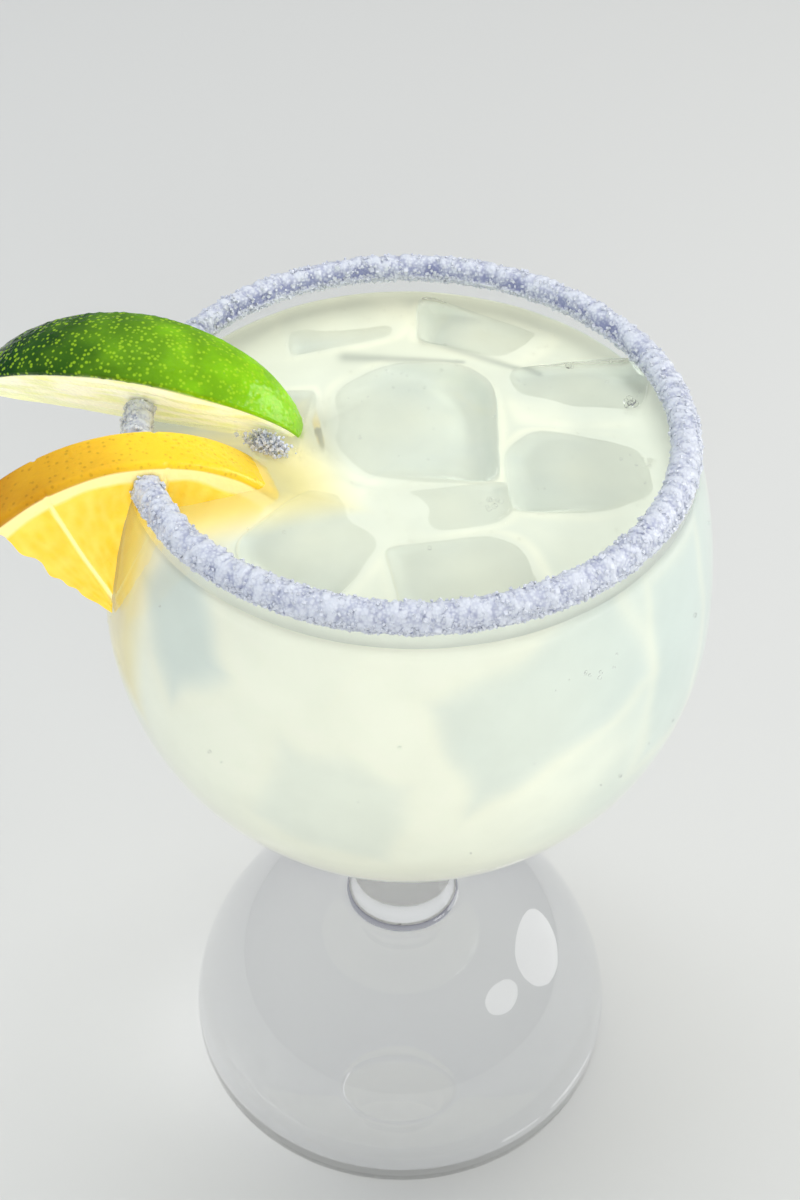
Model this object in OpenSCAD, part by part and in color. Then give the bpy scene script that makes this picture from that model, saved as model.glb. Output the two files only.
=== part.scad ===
// Margarita served in a stemmed goblet: the drink, a salted rim, a lime wedge and a lemon slice.
// The goblet stands on z = 0 with its axis on Z. The garnish sits over the rim on the -X side.

/* [Goblet] */
// Overall height of the goblet
glass_h = 181; // [165:1:220]
// Radius of the bowl at its widest
belly_r = 58.5; // [52:0.5:72]
// Outer radius at the rim
rim_r = 50.8; // [44:0.2:51.5]
// Height of the widest place below the rim
belly_depth = 41; // [34:1:50]
// Depth of the bowl's outside below its widest place
bowl_drop = 56; // [45:1:62]
// Wall thickness of the bowl
wall = 3; // [2:0.1:4]
// Glass thickness at the middle of the bowl's floor
floor_t = 6; // [4:0.5:10]

/* [Stem and foot] */
// Radius of the stem at its narrowest
stem_r = 10; // [8:0.1:12]
// How much wider the stem is where it runs into the bowl
stem_swell = 3; // [1:0.5:5]
// Height at which the stem meets the foot
collar_h = 48; // [40:0.5:54]
// Radius of the stem's round collar, where it meets the foot
collar_r = 12.5; // [12.1:0.1:18]
// Radius of the foot at its widest
foot_r = 47.5; // [40:0.5:57]
// Height of the foot's widest place
foot_belly_h = 9; // [7:0.5:12]
// How much narrower the resting face is than the foot
foot_tuck = 3; // [2:0.5:5]
// Width of the flat ring that the goblet stands on
rest_ring_w = 9; // [6:0.5:14]
// Depth of the hollow under the foot
punt_h = 8; // [2:0.5:12]

/* [Drink] */
// Distance from the rim down to the drink's surface
drink_depth = 8.5; // [6:0.5:11]
// Gap left between the drink and the glass
fill_gap = 0.05; // [0.02:0.01:0.2]

/* [Salt rim] */
// How far the crust stands out from the wall, outside the goblet
salt_out = 1.7; // [1:0.1:3]
// How far the crust stands in from the wall, inside the goblet
salt_in = 1; // [0.6:0.1:1.6]
// Height of the crust above the rim
salt_top = 1.2; // [0.6:0.1:2]
// How far down the crust reaches outside the goblet
salt_depth = 4.5; // [3:0.5:6]
// How far down the crust reaches inside the goblet
salt_in_depth = 3.5; // [2.5:0.5:5]
// Gap left between the crust and the glass
salt_gap = 0.05; // [0.02:0.01:0.2]

/* [Lime wedge] */
// Length of the lime from tip to tip
lime_l = 62; // [50:1:72]
// Radius of the lime at its middle
lime_r = 19.5; // [16:0.5:24]
// Angle between the wedge's two cut faces
lime_angle = 50; // [42:1:70]
// How far the cut edge lies beyond the middle of the lime
lime_core = 1.5; // [0:0.5:4]
// Roundness of the lime's ends: a small value is blunt, 1 is pointed
lime_point = 0.5; // [0.4:0.05:0.9]
// How far the top of the peel stands above the rim
lime_cover = 11.5; // [8:0.5:16]
// How far the lime's middle lies outside the rim
lime_out = 1.2; // [-4:0.2:6]
// Place of the lime round the rim
lime_at = 168.5; // [160:0.5:172]
// Turn of the lime seen from above
lime_yaw = -7; // [-15:1:10]
// How far the lime's inner end tips down
lime_tip = 4.5; // [0:0.5:12]
// How far the lime leans to the front
lime_lean = 7; // [-4:1:10]

/* [Lemon slice] */
// Radius of the lemon
lemon_r = 38; // [32:0.5:42]
// Thickness of the slice
lemon_t = 10; // [7:0.5:12]
// Angle of the quarter that was cut from the slice
lemon_angle = 89; // [75:1:100]
// Rounding of the peel's edges
lemon_edge = 1.2; // [0.5:0.1:2]
// How far the top of the peel stands above the rim
lemon_cover = 3.4; // [2.8:0.1:5]
// How far the slice's point lies outside the rim
lemon_out = 4.6; // [1:0.2:7]
// Place of the slice's front face round the rim
lemon_at = 200.5; // [199:0.5:206]
// How far the slice tips in over the drink
lemon_roll = 8; // [4:1:11]

/* [Fits] */
// Gap on each side of the wall in the slots of the lime and the lemon
slot_gap = 0.3; // [0.1:0.05:0.6]
// Gap between the salt and the faces of the lime and the lemon
salt_end_gap = 0.3; // [0.1:0.05:0.8]
// Gap between the drink and what dips into it
dip_gap = 0.05; // [0.02:0.01:0.2]

/* [Hidden] */
$fn = 96;

// steps along each curve of an outline
STEPS = 18;
// reach of the tools that cut a piece, well past the goblet
FAR = 200;
// radius of the first step out from the middle of the bowl's floor
FLOOR_R = 5;
// smallest step between two points of an outline
EPS = 0.01;

belly_z = glass_h - belly_depth;
drink_z = glass_h - drink_depth;
lip_h = wall / 2;
lip_z = glass_h - lip_h;
lime_reach = rim_r + lime_out;
lemon_reach = rim_r + lemon_out;

// Half height of the ellipse that draws the bowl in from its widest radius to its rim.
function upper_rise(r_belly, r_rim) = belly_depth / sqrt(1 - pow(r_rim / r_belly, 2));

// Radius at height z of a bowl that is widest at belly_z, on its upper half.
function upper_r(z, r_belly, r_rim) =
    r_belly * sqrt(1 - pow((z - belly_z) / upper_rise(r_belly, r_rim), 2));

// Points down the lower half of a bowl, from its widest place to where its radius is r_end.
function lower_bowl(r_belly, drop, r_end) =
    let (a_end = acos(r_end / r_belly))
    [for (i = [0:STEPS]) let (a = a_end * i / STEPS) [r_belly * cos(a), belly_z - drop * sin(a)]];

// Points up the upper half of a bowl, from its widest place to the height z_end.
function upper_bowl(r_belly, r_rim, z_end) =
    [for (i = [1:STEPS]) let (z = belly_z + (z_end - belly_z) * i / STEPS) [upper_r(z, r_belly, r_rim), z]];

// Points on the arc of an ellipse round [cx, cz], from angle a0 to a1.
function arc_points(cx, cz, rx, rz, a0, a1, n) =
    [for (i = [0:n]) let (a = a0 + (a1 - a0) * i / n) [cx + rx * cos(a), cz + rz * sin(a)]];

function reversed(list) = [for (i = [len(list) - 1:-1:0]) list[i]];

// The outside of the foot, up from the resting face to the collar.
function foot_outline() =
    let (crown_r = foot_r - collar_r, crown_h = collar_h - foot_belly_h)
    concat(
        arc_points(foot_r - foot_tuck, foot_belly_h, foot_tuck, foot_belly_h, -90, 0, 8),
        [for (i = [1:STEPS]) let (a = 90 * i / STEPS)
            [collar_r + crown_r * pow(cos(a), 0.9), foot_belly_h + crown_h * pow(sin(a), 1.15)]]);

// The stem, up from the collar to the underside of the bowl, hollowed like a waist.
function stem_outline() =
    let (rise = bowl_foot_z - collar_h, flare = collar_r - stem_r)
    [for (i = [1:STEPS]) let (t = i / STEPS)
        [stem_r + flare * pow(1 - t, 7) + stem_swell * pow(t, 5), collar_h + rise * t]];

// Height at which the outside of the bowl has shrunk to the top of the stem.
bowl_foot_z = belly_z - bowl_drop * sin(acos((stem_r + stem_swell) / belly_r));

// The outside of the goblet, from the resting face up to just under the lip.
function outer_outline() =
    concat(
        foot_outline(),
        stem_outline(),
        reversed([for (p = lower_bowl(belly_r, bowl_drop, stem_r + stem_swell)) if (p[1] > bowl_foot_z + EPS) p]),
        upper_bowl(belly_r, rim_r, lip_z));

// The inside of the bowl, moved in by gap, from its floor up to the height z_end.
function inner_outline(gap, z_end) =
    concat(
        [[0, belly_z - bowl_drop + floor_t + gap]],
        reversed(lower_bowl(belly_r - wall - gap, bowl_drop - floor_t - gap, FLOOR_R)),
        upper_bowl(belly_r - wall - gap, rim_r - wall - gap, z_end));

// Outer and inner radius of the wall at height z, grown by gap.
function wall_out_r(z, gap) = upper_r(z, belly_r + gap, rim_r + gap);
function wall_in_r(z, gap) = upper_r(z, belly_r - wall - gap, rim_r - wall - gap);

// The rounded lip, from just past its outer corner to just before its inner one, grown by gap.
function lip_outline(gap) =
    let (r_out = wall_out_r(lip_z, gap), r_in = wall_in_r(lip_z, gap))
    arc_points((r_out + r_in) / 2, lip_z, (r_out - r_in) / 2, lip_h + gap, 15, 165, 10);

// Section of the wall alone, from the belly up and over the lip, grown by gap on both sides.
module wall_section(gap) {
    polygon(concat(
        [[belly_r + gap, belly_z]],
        upper_bowl(belly_r + gap, rim_r + gap, lip_z),
        lip_outline(gap),
        reversed(upper_bowl(belly_r - wall - gap, rim_r - wall - gap, lip_z)),
        [[belly_r - wall - gap, belly_z]]));
}

// The wall round the rim, as the tool that cuts the slots over it.
module rim_wall(gap) {
    rotate_extrude()
        wall_section(gap);
}

// Goblet: foot, stem and bowl in one piece of glass.
module glass() {
    color("lavender", 0.4)
        rotate_extrude()
            polygon(concat(
                arc_points(0, 0, foot_r - foot_tuck - rest_ring_w, punt_h, 90, 0, 8),
                outer_outline(),
                lip_outline(0),
                reversed(inner_outline(0, lip_z))));
}

// The lime seen as a whole fruit, lying along X round its own middle.
module whole_lime() {
    half = lime_l / 2;
    rotate([0, 90, 0])
        rotate_extrude()
            polygon(concat(
                [[0, -half]],
                [for (i = [1:2 * STEPS - 1]) let (u = -1 + i / STEPS)
                    [lime_r * pow(cos(90 * u), lime_point), half * u]],
                [[0, half]]));
}

// The wedge cut from the lime, its peel up and its cut edge down.
module lime_shape(grow) {
    half_w = FAR * tan(lime_angle / 2);
    edge = lime_core + grow / sin(lime_angle / 2);
    intersection() {
        scale((lime_r + grow) / lime_r)
            whole_lime();
        rotate([90, 0, 90])
            linear_extrude(height = 2 * FAR, center = true)
                polygon([[0, -edge], [half_w, FAR - edge], [-half_w, FAR - edge]]);
    }
}

module place_lime() {
    translate([lime_reach * cos(lime_at), lime_reach * sin(lime_at), glass_h + lime_cover - lime_r])
        rotate([0, 0, lime_yaw])
            rotate([0, lime_tip, 0])
                rotate([lime_lean, 0, 0])
                    children();
}

// Lime wedge, slotted from its cut edge over the wall of the goblet.
module lime_wedge() {
    color("limegreen")
        difference() {
            place_lime()
                lime_shape(0);
            rim_wall(slot_gap);
        }
}

// A quarter of a round slice with its point at the origin, standing up, its front face on y = 0.
module lemon_shape(grow) {
    half_w = FAR * tan(lemon_angle / 2);
    edge = grow / sin(lemon_angle / 2);
    intersection() {
        translate([0, lemon_t + grow, 0])
            rotate([90, 0, 0])
                rotate_extrude()
                    lemon_section(lemon_r + grow, lemon_t + 2 * grow);
        rotate([90, 0, 0])
            linear_extrude(height = 2 * FAR, center = true)
                polygon([[0, -edge], [half_w, FAR - edge], [-half_w, FAR - edge]]);
    }
}

// Half of the slice's cross-section, with the peel's two edges rounded off.
module lemon_section(r, t) {
    polygon(concat(
        [[0, 0]],
        arc_points(r - lemon_edge, lemon_edge, lemon_edge, lemon_edge, -90, 0, 5),
        arc_points(r - lemon_edge, t - lemon_edge, lemon_edge, lemon_edge, 0, 90, 5),
        [[0, t]]));
}

module place_lemon() {
    rotate([0, 0, lemon_at - 180])
        translate([-lemon_reach, 0, glass_h + lemon_cover - lemon_r])
            rotate([0, lemon_roll, 0])
                children();
}

// Lemon slice, slit from its point over the wall of the goblet.
module lemon_slice() {
    color("gold")
        difference() {
            place_lemon()
                lemon_shape(0);
            rim_wall(slot_gap);
        }
}

// Drink, filling the bowl up to its surface and cut round what dips into it.
module drink() {
    color("lightyellow", 0.8)
        difference() {
            rotate_extrude()
                polygon(concat(inner_outline(fill_gap, drink_z), [[0, drink_z]]));
            place_lime()
                lime_shape(dip_gap);
            place_lemon()
                lemon_shape(dip_gap);
        }
}

// How much of its full thickness the crust has, at the share t of the way up its side.
function crust_share(t) = 0.15 + 0.85 * pow(sin(90 * t), 0.7);

// Cross-section of the salt crust: thick outside the wall, thin inside it.
module salt_section() {
    low_z = glass_h - salt_depth;
    low_in_z = glass_h - salt_in_depth;
    out_r = wall_out_r(lip_z, 0) + salt_out;
    in_r = wall_in_r(lip_z, 0) - salt_in;
    mid_r = (wall_out_r(lip_z, 0) + wall_in_r(lip_z, 0)) / 2;
    rise = lip_h + salt_top;
    difference() {
        polygon(concat(
            [[mid_r, low_z]],
            [for (i = [0:7]) let (t = i / 8, z = low_z + (lip_z - low_z) * t)
                [wall_out_r(z, 0) + salt_out * crust_share(t), z]],
            arc_points(mid_r, lip_z, out_r - mid_r, rise, 0, 80, 7),
            arc_points(mid_r, lip_z, mid_r - in_r, rise, 90, 180, 7),
            [for (i = [5:-1:0]) let (t = i / 6, z = low_in_z + (lip_z - low_in_z) * t)
                [wall_in_r(z, 0) - salt_in * crust_share(t), z]],
            [[mid_r, low_in_z]]));
        wall_section(salt_gap);
    }
}

// Salt crust round the rim, left out where the lime and the lemon sit on the glass.
module salt_rim() {
    color("aliceblue")
        difference() {
            rotate_extrude()
                salt_section();
            place_lime()
                lime_shape(salt_end_gap);
            place_lemon()
                lemon_shape(salt_end_gap);
        }
}

glass();
drink();
salt_rim();
lime_wedge();
lemon_slice();
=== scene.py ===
"""Margarita in a salted goblet, with ice, a lime wedge and a lemon slice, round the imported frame.

Every piece is a surface worked out with numpy in millimetres and stored in metres. The goblet
stands on z = 0 with its axis on Z, and the garnish sits over its rim on the -X side.
"""
import logging
import math
from dataclasses import dataclass, field
from enum import Enum
from itertools import product

import bpy
import numpy as np
from mathutils import Matrix, Vector


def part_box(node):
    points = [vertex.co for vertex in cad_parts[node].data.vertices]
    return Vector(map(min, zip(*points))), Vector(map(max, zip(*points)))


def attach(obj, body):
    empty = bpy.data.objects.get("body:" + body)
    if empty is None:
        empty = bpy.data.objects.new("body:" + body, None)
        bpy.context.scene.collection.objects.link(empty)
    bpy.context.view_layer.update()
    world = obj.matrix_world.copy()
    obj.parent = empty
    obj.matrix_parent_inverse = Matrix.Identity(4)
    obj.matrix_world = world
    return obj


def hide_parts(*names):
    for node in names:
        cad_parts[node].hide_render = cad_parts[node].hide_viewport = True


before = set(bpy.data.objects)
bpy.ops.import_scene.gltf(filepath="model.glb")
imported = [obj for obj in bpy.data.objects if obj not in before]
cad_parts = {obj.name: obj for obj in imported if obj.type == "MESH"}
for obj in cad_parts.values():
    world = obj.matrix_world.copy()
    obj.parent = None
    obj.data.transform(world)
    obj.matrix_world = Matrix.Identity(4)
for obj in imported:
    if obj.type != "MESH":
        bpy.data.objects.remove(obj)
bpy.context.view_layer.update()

Array = np.ndarray
Triple = tuple[float, float, float]
Colour = Triple
MM = 0.001
TINY = 1e-12
SHARP_EDGE = math.radians(42.0)
BLACK = (0.0, 0.0, 0.0)
BODY = "root"
log = logging.getLogger("margarita")


# ---------------------------------------------------------------- shared arithmetic


def smooth(share: Array) -> Array:
    """Rise from 0 to 1 with level ends: 3 t squared less 2 t cubed, t held within 0 to 1."""
    t = np.clip(share, 0.0, 1.0)
    return t * t * (3.0 - 2.0 * t)


def mix(a: Array, b: Array, share: Array) -> Array:
    """Blend from a to b by share."""
    return a + (b - a) * share


def paint(red: int, green: int, blue: int) -> Colour:
    """Turn a colour on the usual 0 to 255 scale into linear light.

    Args:
        red, green, blue: the colour as a screen shows it.

    Returns:
        The three linear parts, 0 to 1.
    """
    parts = np.array([red, green, blue]) / 255.0
    low = parts / 12.92
    high = ((parts + 0.055) / 1.055) ** 2.4
    return tuple(float(v) for v in np.where(parts <= 0.04045, low, high))


def turned(x: float = 0.0, y: float = 0.0, z: float = 0.0) -> Array:
    """Turn about X, then Y, then Z, by angles in degrees, as a 3 by 3 matrix."""
    spin = [Matrix.Rotation(math.radians(a), 3, axis) for a, axis in ((z, "Z"), (y, "Y"), (x, "X"))]
    return np.array(spin[0] @ spin[1] @ spin[2])


@dataclass(frozen=True)
class Noise:
    """Repeatable random fields over space, one for each seed."""

    seed: int

    def scatter(self, cells: Array, channel: int = 0) -> Array:
        """Mix the whole numbers of each cell into a value from 0 to 1.

        Args:
            cells: whole-number places, three to a row.
            channel: which of several unlike values to give.

        Returns:
            One value for each row.
        """
        c = cells.astype(np.int64)
        n = (c[..., 0] * 73856093) ^ (c[..., 1] * 19349663) ^ (c[..., 2] * 83492791)
        n = (n ^ (self.seed * 2654435 + channel * 40503)) & 0xFFFFFFFF
        n = ((n ^ (n >> 15)) * 2246822519) & 0xFFFFFFFF
        n = ((n ^ (n >> 13)) * 3266489917) & 0xFFFFFFFF
        return (n ^ (n >> 16)) / 4294967295.0

    def value(self, points: Array, size: float) -> Array:
        """Value noise: the eight corner values of each cell, blended smoothly.

        Args:
            points: places in millimetres.
            size: width of a cell in millimetres.

        Returns:
            One value from -1 to 1 for each place.
        """
        place = points / size
        base = np.floor(place)
        part = smooth(place - base)
        total = np.zeros(len(points))
        for corner in product((0, 1), repeat=3):
            weight = np.prod(np.where(np.array(corner) == 1, part, 1.0 - part), axis=1)
            total += weight * self.scatter(base + corner)
        return 2.0 * total - 1.0

    def fractal(self, points: Array, size: float, layers: int = 3) -> Array:
        """Sum of value noise, each layer half as wide and half as strong as the last."""
        total = np.zeros(len(points))
        for k in range(layers):
            total += self.value(points + 17.3 * k, size / 2**k) / 2**k
        return total / (2.0 - 0.5 ** (layers - 1))

    def cells(self, points: Array, size: float) -> tuple[Array, Array]:
        """Distance to the nearest of a field of scattered centres, one in each cell.

        Args:
            points: places in millimetres.
            size: width of a cell in millimetres.

        Returns:
            The distance in cell widths, and a random value that each centre keeps.
        """
        place = points / size
        base = np.floor(place)
        nearest = np.full(len(points), 9.0)
        mark = np.zeros(len(points))
        for offset in product((-1, 0, 1), repeat=3):
            cell = base + offset
            centre = cell + np.stack([self.scatter(cell, k) for k in (1, 2, 3)], axis=1)
            away = np.linalg.norm(place - centre, axis=1)
            nearer = away < nearest
            nearest = np.where(nearer, away, nearest)
            mark = np.where(nearer, self.scatter(cell, 4), mark)
        return nearest, mark


# ---------------------------------------------------------------- shells


@dataclass
class Shell:
    """A closed surface in millimetres: its points, its four-sided and three-sided faces."""

    points: Array
    quads: Array
    tris: Array = field(default_factory=lambda: np.zeros((0, 3), int))

    def joined(self, other: "Shell") -> "Shell":
        """Put two shells into one, side by side."""
        shift = len(self.points)
        return Shell(
            np.vstack([self.points, other.points]),
            np.vstack([self.quads, other.quads + shift]),
            np.vstack([self.tris, other.tris + shift]),
        )

    def outwards(self) -> "Shell":
        """Turn every face over if the volume that the faces enclose comes out negative."""
        halves = np.vstack([self.quads[:, :3], self.quads[:, [0, 2, 3]], self.tris])
        a, b, c = (self.points[halves[:, k]] for k in range(3))
        if np.einsum("ij,ij->i", a, np.cross(b, c)).sum() < 0.0:
            self.quads = self.quads[:, ::-1]
            self.tris = self.tris[:, ::-1]
        return self

    def normals(self) -> Array:
        """Unit normal at each point: the sum of the crossed diagonals of the faces round it."""
        total = np.zeros_like(self.points)
        for faces in (self.quads, np.hstack([self.tris, self.tris[:, :1]])):
            across = self.points[faces[:, 2]] - self.points[faces[:, 0]]
            along = self.points[faces[:, 3]] - self.points[faces[:, 1]]
            face_normal = np.cross(across, along)
            for k in range(4):
                np.add.at(total, faces[:, k], face_normal)
        return total / np.maximum(np.linalg.norm(total, axis=1, keepdims=True), TINY)


def block_skin(along: int, across: int, deep: int) -> tuple[Array, Array]:
    """Skin of a block of cells, for a form that is a bent block.

    Args:
        along, across, deep: how many cells the block has each way.

    Returns:
        The skin's points as three shares from 0 to 1, and its four-sided faces.
    """
    i, j, k = np.meshgrid(*(np.arange(n + 1) for n in (along, across, deep)), indexing="ij")
    skin = (i % along == 0) | (j % across == 0) | (k % deep == 0)
    number = np.full(skin.shape, -1)
    number[skin] = np.arange(skin.sum())
    shares = np.stack([i[skin] / along, j[skin] / across, k[skin] / deep], axis=1)
    sides = (
        (number[0], True), (number[-1], False),
        (number[:, 0], False), (number[:, -1], True),
        (number[:, :, 0], True), (number[:, :, -1], False),
    )
    quads = []
    for side, flip in sides:
        corners = [side[:-1, :-1], side[1:, :-1], side[1:, 1:], side[:-1, 1:]]
        face = np.stack(corners, axis=-1).reshape(-1, 4)
        quads.append(face[:, ::-1] if flip else face)
    return shares, np.vstack(quads)


def revolved(outline: Array, sectors: int) -> Shell:
    """Carry an outline round the Z axis. Its two ends lie on the axis, as one point each.

    Args:
        outline: rows of radius and height, in millimetres.
        sectors: how many steps go round.

    Returns:
        The closed shell: x = r cos a, y = r sin a, z = height.
    """
    rings = outline[1:-1]
    angle = np.linspace(0.0, 2.0 * np.pi, sectors, endpoint=False)
    x = rings[:, :1] * np.cos(angle)
    y = rings[:, :1] * np.sin(angle)
    z = np.repeat(rings[:, 1:], sectors, axis=1)
    points = np.stack([x, y, z], axis=-1).reshape(-1, 3)
    number = np.arange(len(points)).reshape(len(rings), sectors)
    ahead = np.roll(number, -1, axis=1)
    quads = np.stack([number[:-1], ahead[:-1], ahead[1:], number[1:]], axis=-1).reshape(-1, 4)
    low, high = len(points), len(points) + 1
    points = np.vstack([points, [0.0, 0.0, outline[0, 1]], [0.0, 0.0, outline[-1, 1]]])
    first = np.stack([np.full(sectors, low), ahead[0], number[0]], axis=1)
    last = np.stack([np.full(sectors, high), number[-1], ahead[-1]], axis=1)
    return Shell(points, quads, np.vstack([first, last])).outwards()


def scattered(form: Shell, places: Array, sizes: Array, turns: Array | None = None) -> Shell:
    """Repeat a small form at many places.

    Args:
        form: the form round its own middle, one millimetre in radius.
        places: where each copy goes.
        sizes: how large each copy is, as one number or three to a row.
        turns: a 3 by 3 turn for each copy, or none.

    Returns:
        One shell that holds every copy.
    """
    count, corners = len(places), len(form.points)
    local = form.points[None] * sizes.reshape(count, 1, -1)
    if turns is not None:
        local = np.einsum("nij,npj->npi", turns, local)
    points = (local + places[:, None]).reshape(-1, 3)
    shift = (np.arange(count) * corners)[:, None, None]
    quads = (form.quads[None] + shift).reshape(-1, 4)
    tris = (form.tris[None] + shift).reshape(-1, 3)
    return Shell(points, quads, tris)


def ball(sectors: int, rings: int) -> Shell:
    """A ball of radius one, from its lowest point to its highest."""
    polar = np.linspace(-0.5 * np.pi, 0.5 * np.pi, rings + 1)
    return revolved(np.stack([np.cos(polar), np.sin(polar)], axis=1), sectors)


def random_turns(rng: np.random.Generator, count: int) -> Array:
    """Even random turns, from unit quaternions w, x, y, z written out as matrices."""
    q = rng.normal(size=(count, 4))
    w, x, y, z = (q / np.linalg.norm(q, axis=1, keepdims=True)).T
    rows = [
        [1 - 2 * (y * y + z * z), 2 * (x * y - w * z), 2 * (x * z + w * y)],
        [2 * (x * y + w * z), 1 - 2 * (x * x + z * z), 2 * (y * z - w * x)],
        [2 * (x * z - w * y), 2 * (y * z + w * x), 1 - 2 * (x * x + y * y)],
    ]
    return np.moveaxis(np.array(rows), 2, 0)


# ---------------------------------------------------------------- Blender objects


def make_piece(name: str, shell: Shell, material: bpy.types.Material | None) -> bpy.types.Object:
    """Store a shell as a smooth Blender mesh at the origin.

    Args:
        name: the piece's name.
        shell: the surface, in millimetres.
        material: its finish, or none for a tool.

    Returns:
        The new object, linked to the scene.
    """
    mesh = bpy.data.meshes.new(name)
    faces = shell.quads.tolist() + shell.tris.tolist()
    mesh.from_pydata((shell.points * MM).tolist(), [], faces)
    mesh.shade_smooth()
    if material is not None:
        mesh.materials.append(material)
    piece = bpy.data.objects.new(name, mesh)
    bpy.context.scene.collection.objects.link(piece)
    return piece


def mesh_points(piece: bpy.types.Object) -> Array:
    """Read a piece's points back, in millimetres."""
    flat = np.zeros(len(piece.data.vertices) * 3)
    piece.data.vertices.foreach_get("co", flat)
    return flat.reshape(-1, 3) / MM


def set_value(piece: bpy.types.Object, name: str, values: Array) -> None:
    """Store one number for each point of a piece, for its material to read."""
    layer = piece.data.attributes.new(name, "FLOAT", "POINT")
    layer.data.foreach_set("value", np.asarray(values, np.float32))


def set_vector(piece: bpy.types.Object, name: str, vectors: Array) -> None:
    """Store three numbers for each point of a piece, for its material to read."""
    layer = piece.data.attributes.new(name, "FLOAT_VECTOR", "POINT")
    layer.data.foreach_set("vector", np.asarray(vectors, np.float32).ravel())


def set_colour(piece: bpy.types.Object, name: str, colours: Array) -> None:
    """Store a linear colour for each point of a piece, for its material to read."""
    layer = piece.data.attributes.new(name, "FLOAT_COLOR", "POINT")
    opaque = np.hstack([colours, np.ones((len(colours), 1))])
    layer.data.foreach_set("color", opaque.astype(np.float32).ravel())


def cut_away(piece: bpy.types.Object, tool: Shell) -> None:
    """Cut a tool's space out of a piece, exactly, and keep the result as the piece's mesh."""
    cutter = make_piece("cutter", tool, None)
    step = piece.modifiers.new("slot", "BOOLEAN")
    step.operation = "DIFFERENCE"
    step.solver = "EXACT"
    step.object = cutter
    shaped = piece.evaluated_get(bpy.context.evaluated_depsgraph_get())
    mesh = bpy.data.meshes.new_from_object(shaped)
    piece.modifiers.clear()
    old = piece.data
    piece.data = mesh
    bpy.data.meshes.remove(old)
    mesh.name = piece.name
    spare = cutter.data
    bpy.data.objects.remove(cutter)
    bpy.data.meshes.remove(spare)


def report(piece: bpy.types.Object) -> None:
    """Say how many triangles a piece has and where it reaches."""
    mesh = piece.data
    mesh.calc_loop_triangles()
    reach = np.round(np.ptp(mesh_points(piece), axis=0), 1)
    log.info("%s: %d triangles, %s mm", piece.name, len(mesh.loop_triangles), reach)


# ---------------------------------------------------------------- finishes


class Blend(Enum):
    """The ways that two colours are put together in a material."""

    MIX = "MIX"
    MULTIPLY = "MULTIPLY"


def dimple_group() -> bpy.types.NodeTree:
    """Fine relief that several finishes share, built once and placed in each material.

    Returns:
        The node group. Its height is the soft distance to the nearest dot plus the clouds.
    """
    title = "dimples"
    if title in bpy.data.node_groups:
        return bpy.data.node_groups[title]
    group = bpy.data.node_groups.new(title, "ShaderNodeTree")
    group.interface.new_socket("Vector", in_out="INPUT", socket_type="NodeSocketVector")
    for name in ("Dot Scale", "Cloud Scale", "Cloud Detail"):
        group.interface.new_socket(name, in_out="INPUT", socket_type="NodeSocketFloat")
    group.interface.new_socket("Height", in_out="OUTPUT", socket_type="NodeSocketFloat")
    start = group.nodes.new("NodeGroupInput")
    dots = group.nodes.new("ShaderNodeTexVoronoi")
    dots.feature = "SMOOTH_F1"
    clouds = group.nodes.new("ShaderNodeTexNoise")
    total = group.nodes.new("ShaderNodeMath")
    end = group.nodes.new("NodeGroupOutput")
    for name, socket in (
        ("Vector", dots.inputs["Vector"]), ("Vector", clouds.inputs["Vector"]),
        ("Dot Scale", dots.inputs["Scale"]), ("Cloud Scale", clouds.inputs["Scale"]),
        ("Cloud Detail", clouds.inputs["Detail"]),
    ):
        group.links.new(start.outputs[name], socket)
    group.links.new(dots.outputs["Distance"], total.inputs[0])
    group.links.new(clouds.outputs["Fac"], total.inputs[1])
    group.links.new(total.outputs[0], end.inputs["Height"])
    return group


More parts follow.
